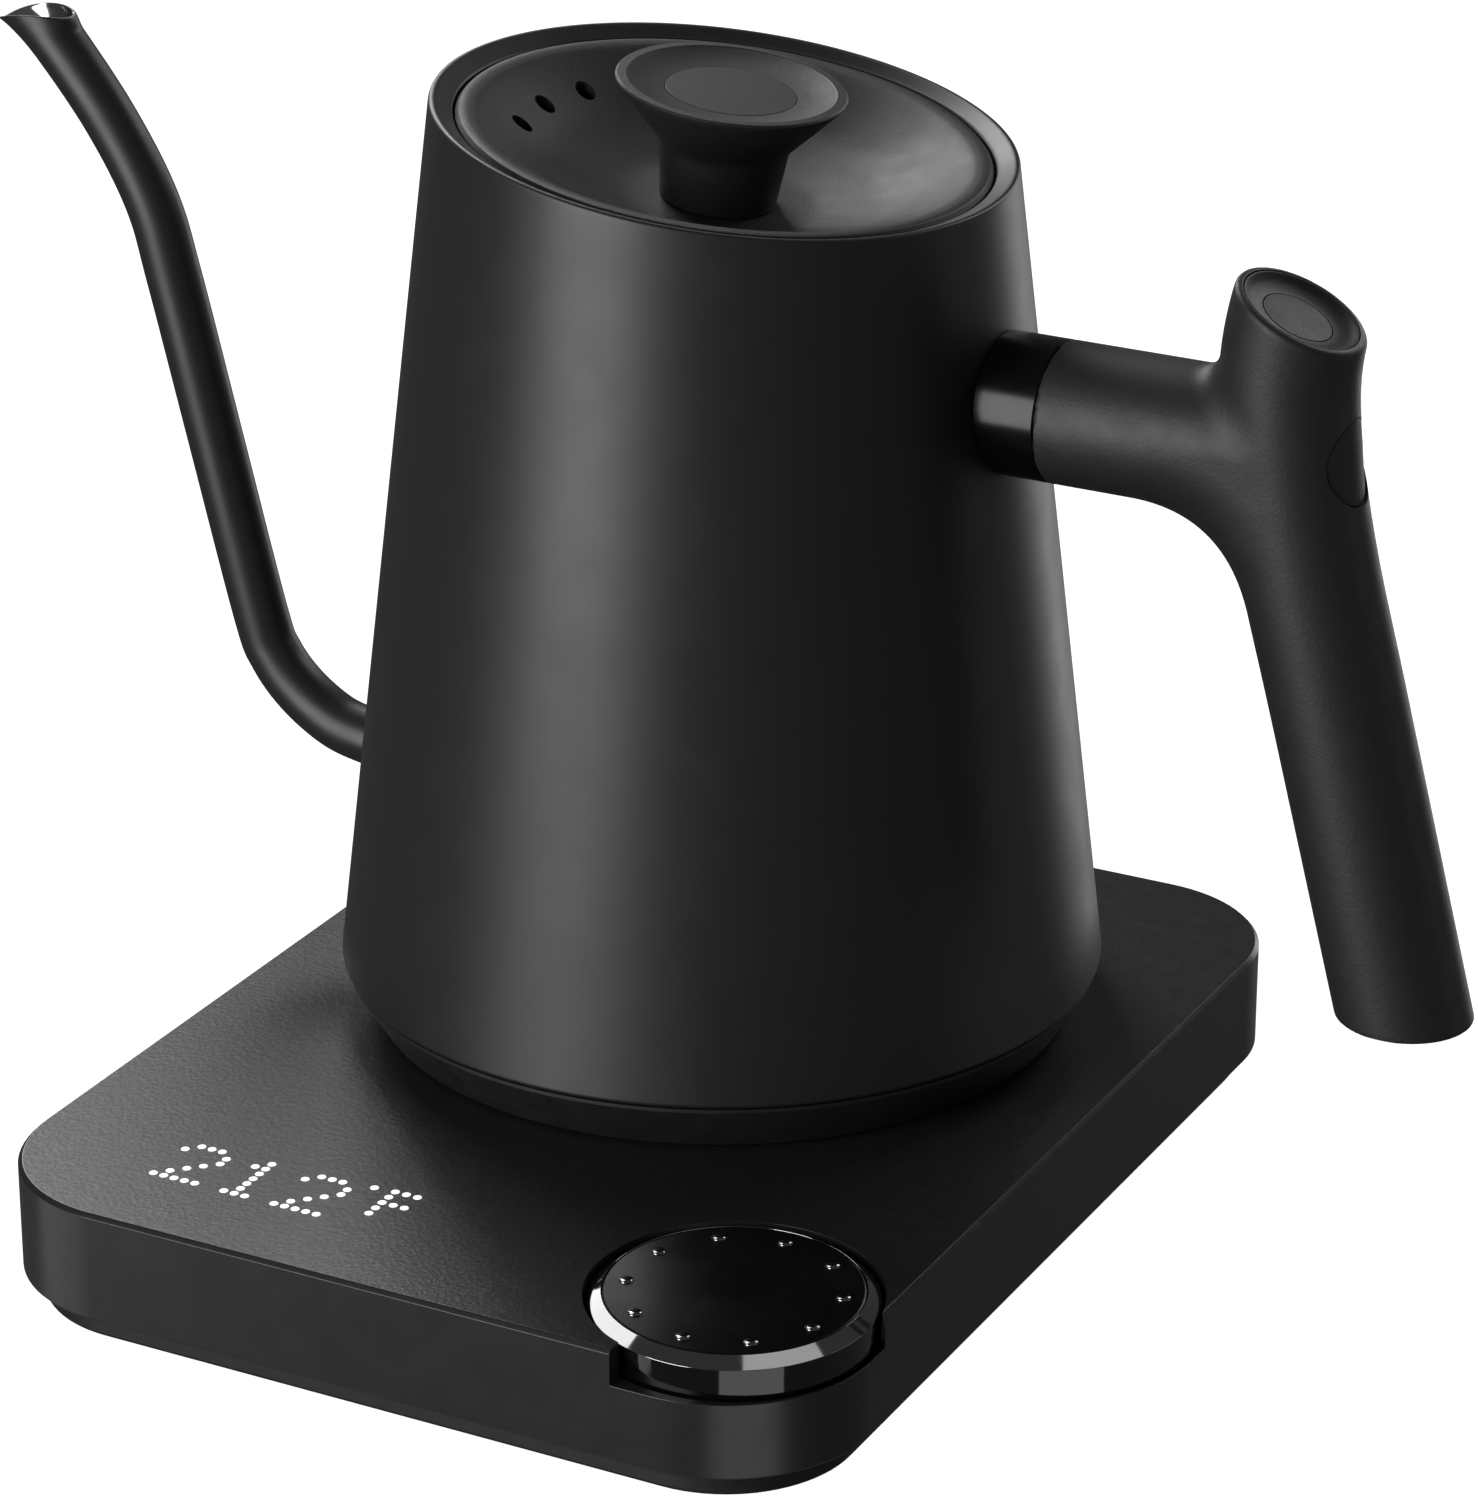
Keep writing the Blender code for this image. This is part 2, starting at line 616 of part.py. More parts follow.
def make_lid():
    bowl = smooth_through(
        [(39.0, -1.5), (35.5, -3.2), (VENT_RING, -5.2), (26.0, -8.4), (18.0, -10.9), (12.5, -11.75),
         (3.2, STEM_FOOT)], 2,
    )
    wall = 1.6
    under = [(radius, height - wall) for radius, height in bowl[2:-1:2]] + [(3.2, STEM_FOOT - wall)]
    dish = turned(
        "lid_dish",
        [(LID_RADIUS - 0.6, LID_EDGE + 0.25), (LID_RADIUS, LID_EDGE - 0.4), (LID_RADIUS, LID_SKIRT),
         (LID_RADIUS - 2.0, LID_SKIRT), (LID_RADIUS - 2.0, LID_EDGE - 2.2), *under, *reversed(bowl),
         (40.4, LID_EDGE + 0.35)],
        GRIP_BLACK, LID, steps=32,
    )
    liner_wall = 0.8
    liner = turned(
        "lid_liner",
        [(39.8, LID_SKIRT - GAP), (39.8, LID_SKIRT - GAP - 0.9), (37.6, LID_SKIRT - 1.4),
         (37.0, LINER_LOW + 1.5), (35.5, LINER_LOW), (2.6, LINER_LOW), (2.6, LINER_LOW + liner_wall),
         (35.2, LINER_LOW + liner_wall), (36.2, LINER_LOW + 1.7), (36.8, LID_SKIRT - GAP)],
        STEEL, LID, steps=28,
    )
    for i in (-1, 0, 1):
        angle = math.pi + i * VENT_STEP
        x, y = VENT_RING * math.cos(angle), VENT_RING * math.sin(angle)
        combine(dish, rod(f"vent_{i + 1}", VENT_RADIUS, (x, y, -12), (x, y, 3), None, LID, 12))
        combine(liner, rod(f"liner_vent_{i + 1}", VENT_RADIUS, (x, y, -20), (x, y, -15), None, LID, 12))
    turned(
        "lid_seal",
        [(41.2, LID_SKIRT - GAP), (42.2, LID_SKIRT - 0.9), (41.4, LID_SKIRT - 1.7), (42.2, LID_SKIRT - 2.5),
         (41.4, LID_SKIRT - 3.4), (40.1, LID_SKIRT - 3.4), (40.1, LID_SKIRT - GAP)],
        RUBBER, LID, steps=28,
    )
    make_knob()


def make_knob():
    foot = STEM_FOOT + GAP
    flare = smooth_through([(KNOB_RADIUS, 6.6), (16.9, 5.0), (14.4, 2.2), (11.6, -0.9), (10.25, -2.6)], 2)
    lip = KNOB_RADIUS - 0.5
    seat = KNOB_DISC_RADIUS + GAP
    turned(
        "lid_knob",
        [
            (0, KNOB_DISC_TOP - 1.8), (seat, KNOB_DISC_TOP - 1.8), (seat, KNOB_DISC_TOP),
            (14.0, KNOB_DISC_TOP + 0.5), (lip - 1.0, KNOB_TOP - 0.1), (lip, KNOB_TOP), *flare,
            (STEM_FOOT_RADIUS, foot), (2.3, foot), (2.3, -1.0), (0, -1.0),
        ],
        GRIP_BLACK, LID, steps=32,
    )
    turned(
        "knob_disc",
        [(0, KNOB_DISC_TOP), (KNOB_DISC_RADIUS, KNOB_DISC_TOP), (KNOB_DISC_RADIUS, KNOB_DISC_TOP - 1.5),
         (0, KNOB_DISC_TOP - 1.5)],
        GRIP_BLACK, LID, steps=32,
    )
    turned(
        "knob_screw",
        [(0, -2.0), (2.0, -2.0), (2.0, LINER_LOW - GAP), (4.2, LINER_LOW - GAP),
         (4.2, LINER_LOW - 1.6), (3.4, LINER_LOW - 2.2), (0, LINER_LOW - 2.2)],
        STEEL, LID, steps=16,
    )


# ---------------------------------------------------------------- build

clear_scene()
PARTS = collection("gooseneck_kettle")
CUTTERS = collection("cutters")

BODY_BLACK = finish("body_black", (0.018, 0.018, 0.019), 0.38)
BASE_BLACK = finish("base_black", (0.02, 0.02, 0.021), 0.55)
GRIP_BLACK = finish("grip_black", (0.022, 0.022, 0.023), 0.62)
GLOSS_BLACK = finish("gloss_black", (0.006, 0.006, 0.007), 0.06)
DARK_CHROME = finish("dark_chrome", (0.25, 0.25, 0.26), 0.08, 1.0)
STEEL = finish("steel", (0.62, 0.62, 0.63), 0.28, 1.0)
BRASS = finish("brass", (0.72, 0.5, 0.22), 0.3, 1.0)
RUBBER = finish("rubber", (0.03, 0.03, 0.03), 0.8)
BOARD = finish("board", (0.02, 0.11, 0.05), 0.5)

BASE = frame("base_frame", (0, 0, 0))
DIAL = frame("dial_frame", (*DIAL_CENTRE, BASE_TOP), parent=BASE)
KETTLE = frame("kettle_frame", (0, 0, BASE_TOP))
LID = frame("lid_frame", (RIM_CENTRE[0], 0, RIM_CENTRE[1]), RIM_TILT, KETTLE)
CAP = frame("cap_frame", (CAP_CENTRE[0], 0, CAP_CENTRE[1]), CAP_TILT, KETTLE)

make_base_cover()
make_plinth()
make_feet_and_screws()
make_base_coupler()
make_base_electronics()
make_cord_inlet()
make_dial()
make_kettle_bottom()
make_kettle_body()
make_spout()
make_handle()
make_lid()
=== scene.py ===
"""Looks of the gooseneck kettle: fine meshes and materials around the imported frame, with light and camera.

Sizes below are millimetres unless a name says otherwise; MM turns them into metres. Heights
named with REL are above the base's top face, and lid heights run along the lid's slanted axis.
"""

import json
import math

import bmesh
import bpy
import numpy as np
from mathutils import Matrix, Vector


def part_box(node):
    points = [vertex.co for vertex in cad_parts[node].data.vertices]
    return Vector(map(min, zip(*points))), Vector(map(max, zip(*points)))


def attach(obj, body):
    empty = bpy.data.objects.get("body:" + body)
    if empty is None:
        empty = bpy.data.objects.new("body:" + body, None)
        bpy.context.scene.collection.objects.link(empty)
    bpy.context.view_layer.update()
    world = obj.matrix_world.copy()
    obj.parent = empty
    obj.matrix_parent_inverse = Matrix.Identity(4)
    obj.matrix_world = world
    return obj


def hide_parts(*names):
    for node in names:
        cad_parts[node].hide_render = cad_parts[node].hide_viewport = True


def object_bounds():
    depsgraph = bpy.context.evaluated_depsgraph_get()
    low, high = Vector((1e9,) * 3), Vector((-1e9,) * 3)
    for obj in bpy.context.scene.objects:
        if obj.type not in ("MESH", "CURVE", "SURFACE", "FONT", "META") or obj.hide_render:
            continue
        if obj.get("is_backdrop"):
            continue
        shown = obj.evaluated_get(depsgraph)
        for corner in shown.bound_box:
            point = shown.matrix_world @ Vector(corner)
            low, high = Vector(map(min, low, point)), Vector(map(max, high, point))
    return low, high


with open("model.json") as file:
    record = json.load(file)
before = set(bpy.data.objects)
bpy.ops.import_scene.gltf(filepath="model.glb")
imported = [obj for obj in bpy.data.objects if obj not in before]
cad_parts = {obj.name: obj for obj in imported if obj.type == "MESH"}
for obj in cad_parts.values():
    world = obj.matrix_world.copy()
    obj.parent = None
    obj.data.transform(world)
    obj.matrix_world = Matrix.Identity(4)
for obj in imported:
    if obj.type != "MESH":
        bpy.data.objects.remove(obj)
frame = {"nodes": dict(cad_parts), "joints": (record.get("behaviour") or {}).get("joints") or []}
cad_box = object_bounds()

MM = 0.001
ROUND = 160  # sides of a large turned piece
JOINTS = {joint["name"]: joint for joint in frame["joints"]}


def node_box(node):
    """The node's lowest and highest corners in millimetres."""
    low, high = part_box(node)
    return low / MM, high / MM


# ---------------------------------------------------------------- sizes

COVER_LOW, COVER_HIGH = node_box("base_cover")
BASE_TOP = COVER_HIGH.z
BASE_CORNER = 24.2
COVER_WALL = 2.5
PLINTH_LOW, PLINTH_HIGH = node_box("base_plinth")

DIAL_LOW, DIAL_HIGH = node_box("dial_bezel")
DIAL_AXIS = (DIAL_LOW + DIAL_HIGH) / 2
DIAL_RADIUS = (DIAL_HIGH.x - DIAL_LOW.x) / 2
DIAL_FACE_RADIUS = 19.9
BEADS = 10
BEAD_RING = 16.4
BEAD_RADIUS = 1.15
BEAD_SQUEEZE = 0.42
RECESS_RADIUS = 22.65
RECESS_DRAFT = 0.25
RECESS_FLOOR = 6.8
RECESS_SILL = 5.85
RECESS_WALL = 2.2
RECESS_OPEN_X = 42.3
RECESS_OPEN_Y = -86.4
COUPLER_HOLE = 16.0
SHAFT_HOLE = 3.6
INLET_HOLE = 5.2
INLET_HEIGHT = 12.5
SCREW_HEAD_HOLE = 3.2
SCREW_HOLE = 1.6

CONE_LOW = 9.3
CONE_LOW_RADIUS = 62.6
CONE_TAPER = 0.119
CONE_WALL = 1.4
NECK_RADIUS = 42.6

ARM_REL = 111.65
ARM_RADIUS = 11.2
COLLAR_END = node_box("handle_collar")[1].x
GRIP_END_REL = node_box("handle_grip")[0].z - BASE_TOP
CAP_TILT = math.radians(26.0)
CAP_PLACE = (98.0, 134.2)
CAP_RADIUS = 9.6
CAP_DISC_RADIUS = 5.7
PLUG_RADIUS = 6.7
PLUG_SINK = (0.05, 0.4)  # how far its face is below the grip's: all round, and more at its lower edge
INSERT_GAP = 0.12
COLLAR_BORE = 6.3
HANDLE_SCREW_HOLE = 2.5
ARM_END = 96.7
TOP_FILLET = 4.7
BOTTOM_FILLET = 16.0
SEAM = 0.05

KETTLE = Matrix.Translation((0, 0, BASE_TOP * MM))
BASE = Matrix.Identity(4)
DIAL = Matrix.Translation((DIAL_AXIS.x * MM, DIAL_AXIS.y * MM, BASE_TOP * MM))
LID_AXIS = Vector(JOINTS["lid_turn"]["axis"])
LID_TILT = math.atan2(LID_AXIS.x, LID_AXIS.z)
LID = Matrix.Translation(JOINTS["lid_turn"]["pos_m"]) @ Matrix.Rotation(LID_TILT, 4, "Y")
CAP = (
    Matrix.Translation((CAP_PLACE[0] * MM, 0, (BASE_TOP + CAP_PLACE[1]) * MM))
    @ Matrix.Rotation(CAP_TILT, 4, "Y")
)

# Centre lines as stations of (x, height above the base's top, radius)
SPOUT_PATH = (
    (-56.0, 32.0, 4.8), (-61.4, 32.0, 4.8), (-67.0, 32.5, 4.8), (-73.5, 34.1, 4.75), (-80.3, 38.4, 4.7),
    (-85.2, 44.0, 4.65), (-88.0, 51.0, 4.65), (-95.7, 81.0, 4.65), (-102.6, 108.0, 4.65),
    (-106.5, 121.0, 4.55), (-113.9, 133.8, 4.5), (-123.7, 146.1, 4.6), (-132.0, 155.0, 5.0),
)
SPOUT_WALL = 0.8
SPOUT_HOLE = 4.0
MOUTH_PLACE = (-128.15, 150.2)
MOUTH_HALF = (7.6, 4.6)
MOUTH_POINT = 1.15
MOUTH_FALL = 0.9
MOUTH_ARCH = 0.6
SPINE_PATH = (
    (101.5, 143.0, 10.75), (98.0, 134.2, 10.75), (96.5, 122.8, 10.7), (97.7, 109.0, 10.7),
    (101.0, 93.0, 10.6), (107.3, 69.6, 10.55), (122.55, 12.0, 10.5),
)
BEND_PATH = (
    (72.0, 111.65, 10.9), (84.0, 109.6, 10.9), (92.3, 103.6, 10.7), (98.8, 94.5, 10.4), (103.2, 84.5, 10.1),
)


# ---------------------------------------------------------------- materials


class Nodes:
    """Short calls that add shader nodes to one material and link them."""

    def __init__(self, name):
        self.material = bpy.data.materials.new(name)
        self.material.use_nodes = True
        self.tree = self.material.node_tree
        self.shader = self.tree.nodes["Principled BSDF"]

    def add(self, kind, **settings):
        node = self.tree.nodes.new(kind)
        for name, value in settings.items():
            setattr(node, name, value)
        return node

    def link(self, source, target):
        self.tree.links.new(source, target)

    def coordinates(self, stretch=(1, 1, 1)):
        mapping = self.add("ShaderNodeMapping")
        mapping.inputs["Scale"].default_value = stretch
        self.link(self.add("ShaderNodeTexCoord").outputs["Object"], mapping.inputs["Vector"])
        return mapping.outputs["Vector"]

    def noise(self, size, detail=3.0, stretch=(1, 1, 1)):
        """Noise whose largest features are size metres across."""
        node = self.add("ShaderNodeTexNoise")
        node.inputs["Scale"].default_value = 1 / size
        node.inputs["Detail"].default_value = detail
        self.link(self.coordinates(stretch), node.inputs["Vector"])
        return node.outputs["Fac"]

    def cells(self, size):
        node = self.add("ShaderNodeTexVoronoi", feature="SMOOTH_F1")
        node.inputs["Scale"].default_value = 1 / size
        node.inputs["Smoothness"].default_value = 0.6
        self.link(self.coordinates(), node.inputs["Vector"])
        return node.outputs["Distance"]

    def spread(self, value, low, high):
        """Maps the middle of a noise, 0.3 to 0.7, to low and high."""
        node = self.add("ShaderNodeMapRange")
        for name, number in (("From Min", 0.3), ("From Max", 0.7), ("To Min", low), ("To Max", high)):
            node.inputs[name].default_value = number
        self.link(value, node.inputs["Value"])
        return node.outputs["Result"]

    def tint(self, value, low, high):
        node = self.add("ShaderNodeMix", data_type="RGBA")
        node.inputs["A"].default_value = (*low, 1)
        node.inputs["B"].default_value = (*high, 1)
        self.link(value, node.inputs["Factor"])
        self.link(node.outputs["Result"], self.shader.inputs["Base Color"])

    def bump(self, value, height, before=None):
        """A bump of height metres, on top of the bump before it."""
        node = self.add("ShaderNodeBump")
        node.inputs["Distance"].default_value = height
        node.inputs["Strength"].default_value = 1.0
        self.link(value, node.inputs["Height"])
        if before:
            self.link(before, node.inputs["Normal"])
        return node.outputs["Normal"]

    def rough(self, value, low, high):
        self.link(self.spread(value, low, high), self.shader.inputs["Roughness"])

    def normal(self, value):
        self.link(value, self.shader.inputs["Normal"])

    def set(self, **numbers):
        for name, number in numbers.items():
            self.shader.inputs[name.replace("_", " ")].default_value = number


def satin_coating():
    """Powder-smooth black lacquer on steel."""
    look = Nodes("satin_coating")
    look.tint(look.noise(0.03), (0.0120, 0.0120, 0.0123), (0.0145, 0.0145, 0.0148))
    look.rough(look.noise(0.008), 0.40, 0.44)
    look.normal(look.bump(look.noise(0.0006, 2.0), 0.0000025))
    return look.material


def soft_touch(name="soft_touch", grey=0.016, roughness=0.52):
    """Matte moulded plastic with a fine spark-eroded grain."""
    look = Nodes(name)
    look.tint(look.noise(0.0015, 4.0), (grey * 0.85,) * 3, (grey * 1.15,) * 3)
    look.rough(look.noise(0.004), roughness - 0.03, roughness + 0.03)
    coarse = look.bump(look.cells(0.00062), 0.00002)
    look.normal(look.bump(look.noise(0.00025, 2.0), 0.00001, coarse))
    return look.material


def base_top_grain():
    """The base's top: leather-like grain."""
    look = Nodes("base_top_grain")
    look.tint(look.noise(0.002, 4.0), (0.0125,) * 3, (0.0165,) * 3)
    look.rough(look.noise(0.003), 0.35, 0.41)
    coarse = look.bump(look.cells(0.0008), 0.00003)
    look.normal(look.bump(look.noise(0.0003, 2.0), 0.000006, coarse))
    return look.material


def base_side_satin():
    """The base's smooth sides."""
    look = Nodes("base_side_satin")
    look.tint(look.noise(0.01), (0.0125,) * 3, (0.0155,) * 3)
    look.rough(look.noise(0.006), 0.28, 0.32)
    look.normal(look.bump(look.noise(0.0005, 2.0), 0.000002))
    return look.material


def matte_underside():
    look = Nodes("matte_underside")
    look.tint(look.noise(0.004), (0.007,) * 3, (0.010,) * 3)
    look.rough(look.noise(0.004), 0.5, 0.6)
    look.normal(look.bump(look.noise(0.0005, 2.0), 0.000008))
    return look.material


def piano_black(name="piano_black", roughness=0.07, coat=0.4, specular=0.5):
    """Polished black plastic, with the faint waviness of a moulded face."""
    look = Nodes(name)
    look.tint(look.noise(0.02), (0.0018,) * 3, (0.0026,) * 3)
    look.rough(look.noise(0.01), roughness * 0.85, roughness * 1.15)
    look.normal(look.bump(look.noise(0.012, 1.0), 0.00001))
    look.set(Coat_Weight=coat, Coat_Roughness=0.04, Specular_IOR_Level=specular)
    return look.material


def black_chrome(name, grey):
    look = Nodes(name)
    look.tint(look.noise(0.006), (grey * 0.93,) * 3, (grey * 1.07,) * 3)
    look.rough(look.noise(0.004), 0.05, 0.09)
    look.set(Metallic=1.0)
    return look.material


def steel(name, roughness, stretch=(1, 1, 14)):
    """Steel with fine draw lines along the short axis of stretch."""
    look = Nodes(name)
    lines = look.noise(0.004, 5.0, stretch)
    look.tint(lines, (0.50, 0.50, 0.51), (0.66, 0.66, 0.67))
    look.rough(lines, roughness * 0.8, roughness * 1.2)
    look.normal(look.bump(lines, 0.000004))
    look.set(Metallic=1.0)
    return look.material


def brass():
    look = Nodes("turned_brass")
    look.tint(look.noise(0.002), (0.62, 0.42, 0.17), (0.75, 0.54, 0.24))
    look.rough(look.noise(0.001), 0.24, 0.34)
    look.set(Metallic=1.0)
    return look.material


def rubber():
    look = Nodes("dark_rubber")
    look.tint(look.noise(0.003), (0.011,) * 3, (0.017,) * 3)
    look.rough(look.noise(0.002), 0.7, 0.85)
    look.normal(look.bump(look.noise(0.0006, 3.0), 0.00001))
    return look.material


def laminate():
    """Circuit board green, with faint tracks."""
    look = Nodes("board_laminate")
    look.tint(look.noise(0.003, 2.0, (1, 6, 1)), (0.010, 0.070, 0.030), (0.020, 0.130, 0.055))
    look.rough(look.noise(0.004), 0.35, 0.5)
    return look.material


def lit_dot():
    """A lit display dot."""
    look = Nodes("lit_dot")
    look.tint(look.noise(0.001), (0.80, 0.81, 0.82), (0.86, 0.87, 0.88))
    look.set(Roughness=0.5, Emission_Color=(0.93, 0.95, 0.97, 1), Emission_Strength=1.0)
    return look.material


# ---------------------------------------------------------------- mesh helpers


def transformed(points, matrix):
    """Points in millimetres, in matrix's frame, as world points in metres."""
    points = np.asarray(points, float) * MM
    m = np.array(matrix)
    return points @ m[:3, :3].T + m[:3, 3]


def around(sides):
    """The angles of a round piece's sides."""
    return np.arange(sides) * 2 * math.pi / sides


def circle(radius, angles, height):
    """Points at the angles. The radius may be one number or one for each."""
    return np.stack([radius * np.cos(angles), radius * np.sin(angles), np.full(len(angles), height)], axis=1)


def ring(radius, height, sides=ROUND):
    return circle(radius, around(sides), height) if radius > 0 else np.array([[0.0, 0.0, height]])


def ring_mesh(name, rings, wrap=False, bands=None):
    """A closed mesh through rings of world points. A ring of one point closes an end.

    bands gives the material index of the band after each ring.
    """
    starts = np.cumsum([0] + [len(r) for r in rings])
    faces, looks = [], []
    pairs = [(i, i + 1) for i in range(len(rings) - 1)] + ([(len(rings) - 1, 0)] if wrap else [])
    for a, b in pairs:
        na, nb = len(rings[a]), len(rings[b])
        n = max(na, nb)
        for i in range(n):
            j = (i + 1) % n
            face = [starts[a] + i % na, starts[a] + j % na, starts[b] + j % nb, starts[b] + i % nb]
            faces.append([int(v) for v in dict.fromkeys(face)])
            looks.append(bands[a] if bands else 0)
    mesh = bpy.data.meshes.new(name)
    mesh.from_pydata([tuple(p) for r in rings for p in r], [], faces)
    mesh.polygons.foreach_set("material_index", looks)
    bm = bmesh.new()
    bm.from_mesh(mesh)
    bmesh.ops.recalc_face_normals(bm, faces=bm.faces)
    bm.to_mesh(mesh)
    bm.free()
    return mesh


def rounded(points, steps=4):
    """A profile whose points may carry a third number, the radius that rounds that corner."""
    line = []
    for i, point in enumerate(points):
        corner = Vector(point[:2])
        if len(point) < 3 or i in (0, len(points) - 1):
            line.append(tuple(corner))
            continue
        before, after = Vector(points[i - 1][:2]), Vector(points[i + 1][:2])
        u, v = (before - corner).normalized(), (after - corner).normalized()
        half = u.angle(v) / 2
        reach = point[2] / math.tan(half)
        centre = corner + (u + v).normalized() * point[2] / math.sin(half)
        a, b = corner + u * reach - centre, corner + v * reach - centre
        for k in range(steps + 1):
            t = k / steps
            w = (math.sin((1 - t) * (math.pi - 2 * half)) * a + math.sin(t * (math.pi - 2 * half)) * b)
            line.append(tuple(centre + w / math.sin(math.pi - 2 * half)))
    return line


def smooth_through(points, pieces=6):
    """Points on a Catmull-Rom curve through points, ends included."""
    p = np.array([points[0], *points, points[-1]], float)
    line = []
    for a, b, c, d in zip(p, p[1:], p[2:], p[3:]):
        for i in range(pieces):
            t = i / pieces
            line.append(0.5 * (2 * b + (c - a) * t + (2 * a - 5 * b + 4 * c - d) * t**2
                               + (3 * b - 3 * c + d - a) * t**3))
    return [tuple(q) for q in line] + [tuple(p[-1])]


def show(mesh, name, body, looks, nodes=(), sharp=32):
    """Makes mesh a piece that rides on body, takes its finish from looks and stands for the CAD nodes."""
    piece = bpy.data.objects.new(name, mesh)
    bpy.context.scene.collection.objects.link(piece)
    for look in looks if isinstance(looks, (list, tuple)) else [looks]:
        mesh.materials.append(look)
    mesh.shade_smooth()
    mesh.set_sharp_from_angle(angle=math.radians(sharp))
    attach(piece, body)
    if nodes:
        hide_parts(*nodes)
    return piece


def even_shading(piece):
    """Large faces keep their own normal beside small rounded edges."""
    modifier = piece.modifiers.new("even_shading", "WEIGHTED_NORMAL")
    modifier.keep_sharp = True
    modifier.weight = 80
    return piece


def turned(name, profile, place, body, looks, nodes=(), sides=ROUND):
    """A profile turned about place's Z. It is a ring unless it starts and ends on the axis."""
    rings = [transformed(ring(max(r, 0), h, sides), place) for r, h in rounded(profile)]
    mesh = ring_mesh(name, rings, wrap=profile[0][0] > 0)
    return even_shading(show(mesh, name, body, looks, nodes))


def cylinder_cutter(radius, low, high, place, sides=96, end_radius=None):
    """A hidden solid for Boolean cuts, from low to high along place's Z."""
    far = radius if end_radius is None else end_radius
    rings = [ring(0, low), ring(radius, low, sides), ring(far, high, sides), ring(0, high)]
    return bpy.data.objects.new("cutter", ring_mesh("cutter", [transformed(r, place) for r in rings]))


def box_cutter(low, high, place=Matrix.Identity(4)):
    bm = bmesh.new()
    bmesh.ops.create_cube(bm, size=1.0)
    size = Vector(high) - Vector(low)
    middle = (Vector(high) + Vector(low)) / 2
    bm.transform(place @ Matrix.Scale(MM, 4) @ Matrix.Translation(middle) @ Matrix.Diagonal((*size, 1)))
    mesh = bpy.data.meshes.new("cutter")
    bm.to_mesh(mesh)
    bm.free()
    return bpy.data.objects.new("cutter", mesh)


def evaluated(holder):
    """The mesh that an object's modifiers make of it."""
    bpy.context.view_layer.update()
    return bpy.data.meshes.new_from_object(holder.evaluated_get(bpy.context.evaluated_depsgraph_get()))


def held(mesh):
    """A passing object that carries mesh while its modifiers are worked out."""
    holder = bpy.data.objects.new("holder", mesh)
    bpy.context.scene.collection.objects.link(holder)
    return holder


def applied(mesh, *cutters):
    """mesh with the cutters taken away, as a new mesh. The cutters are removed."""
    holder = held(mesh)
    for cutter in cutters:
        bpy.context.scene.collection.objects.link(cutter)
        holder.modifiers.new("cut", "BOOLEAN").object = cutter
    made = evaluated(holder)
    for extra in (holder, *cutters):
        bpy.data.objects.remove(extra)
    return made


def remeshed(mesh, size):
    """mesh as one skin of voxels."""
    holder = held(mesh)
    remesh = holder.modifiers.new("voxels", "REMESH")
    remesh.mode = "VOXEL"
    remesh.voxel_size = size * MM
    made = evaluated(holder)
    bpy.data.objects.remove(holder)
    return made


# ---------------------------------------------------------------- base


def outline(inset, steps=20):
    """The base's rounded outline, drawn in by inset."""
    radius = BASE_CORNER - inset
    low, high = COVER_LOW, COVER_HIGH
    points = []
    corners = ((high.x, high.y, 0), (low.x, high.y, 90), (low.x, low.y, 180), (high.x, low.y, 270))
    for x, y, start in corners:
        cx = x - math.copysign(BASE_CORNER, x)
        cy = y - math.copysign(BASE_CORNER, y)
        for k in range(steps + 1):
            a = math.radians(start + 90 * k / steps)
            points.append((cx + radius * math.cos(a), cy + radius * math.sin(a)))
    return points


def plate(*steps):
    """A closed plate with the base's outline, through steps of (inset, height)."""
    bm = bmesh.new()
    rings = [[bm.verts.new(Vector((x, y, z)) * MM) for x, y in outline(inset)] for inset, z in steps]
    for low, high in zip(rings, rings[1:]):
        for i in range(len(low)):
            j = (i + 1) % len(low)
            bm.faces.new((low[i], low[j], high[j], high[i]))
    bm.faces.new(reversed(rings[0]))
    bm.faces.new(rings[-1])
    bmesh.ops.recalc_face_normals(bm, faces=bm.faces)
    mesh = bpy.data.meshes.new("plate")
    bm.to_mesh(mesh)
    bm.free()
    return mesh


def weighted_bevel(mesh, weight, width, segments):
    """mesh with its edges rounded, as far as weight(edge) says: 0 not at all, 1 by the whole width."""
    bm = bmesh.new()
    bm.from_mesh(mesh)
    layer = bm.edges.layers.float.new("bevel_weight_edge")
    for edge in bm.edges:
        if len(edge.link_faces) == 2:
            edge[layer] = weight(edge)
    bm.to_mesh(mesh)
    bm.free()
    holder = held(mesh)
    bevel = holder.modifiers.new("edges", "BEVEL")
    bevel.limit_method = "WEIGHT"
    bevel.width = width * MM
    bevel.segments = segments
    bevel.use_clamp_overlap = False
    made = evaluated(holder)
    bpy.data.objects.remove(holder)
    return made


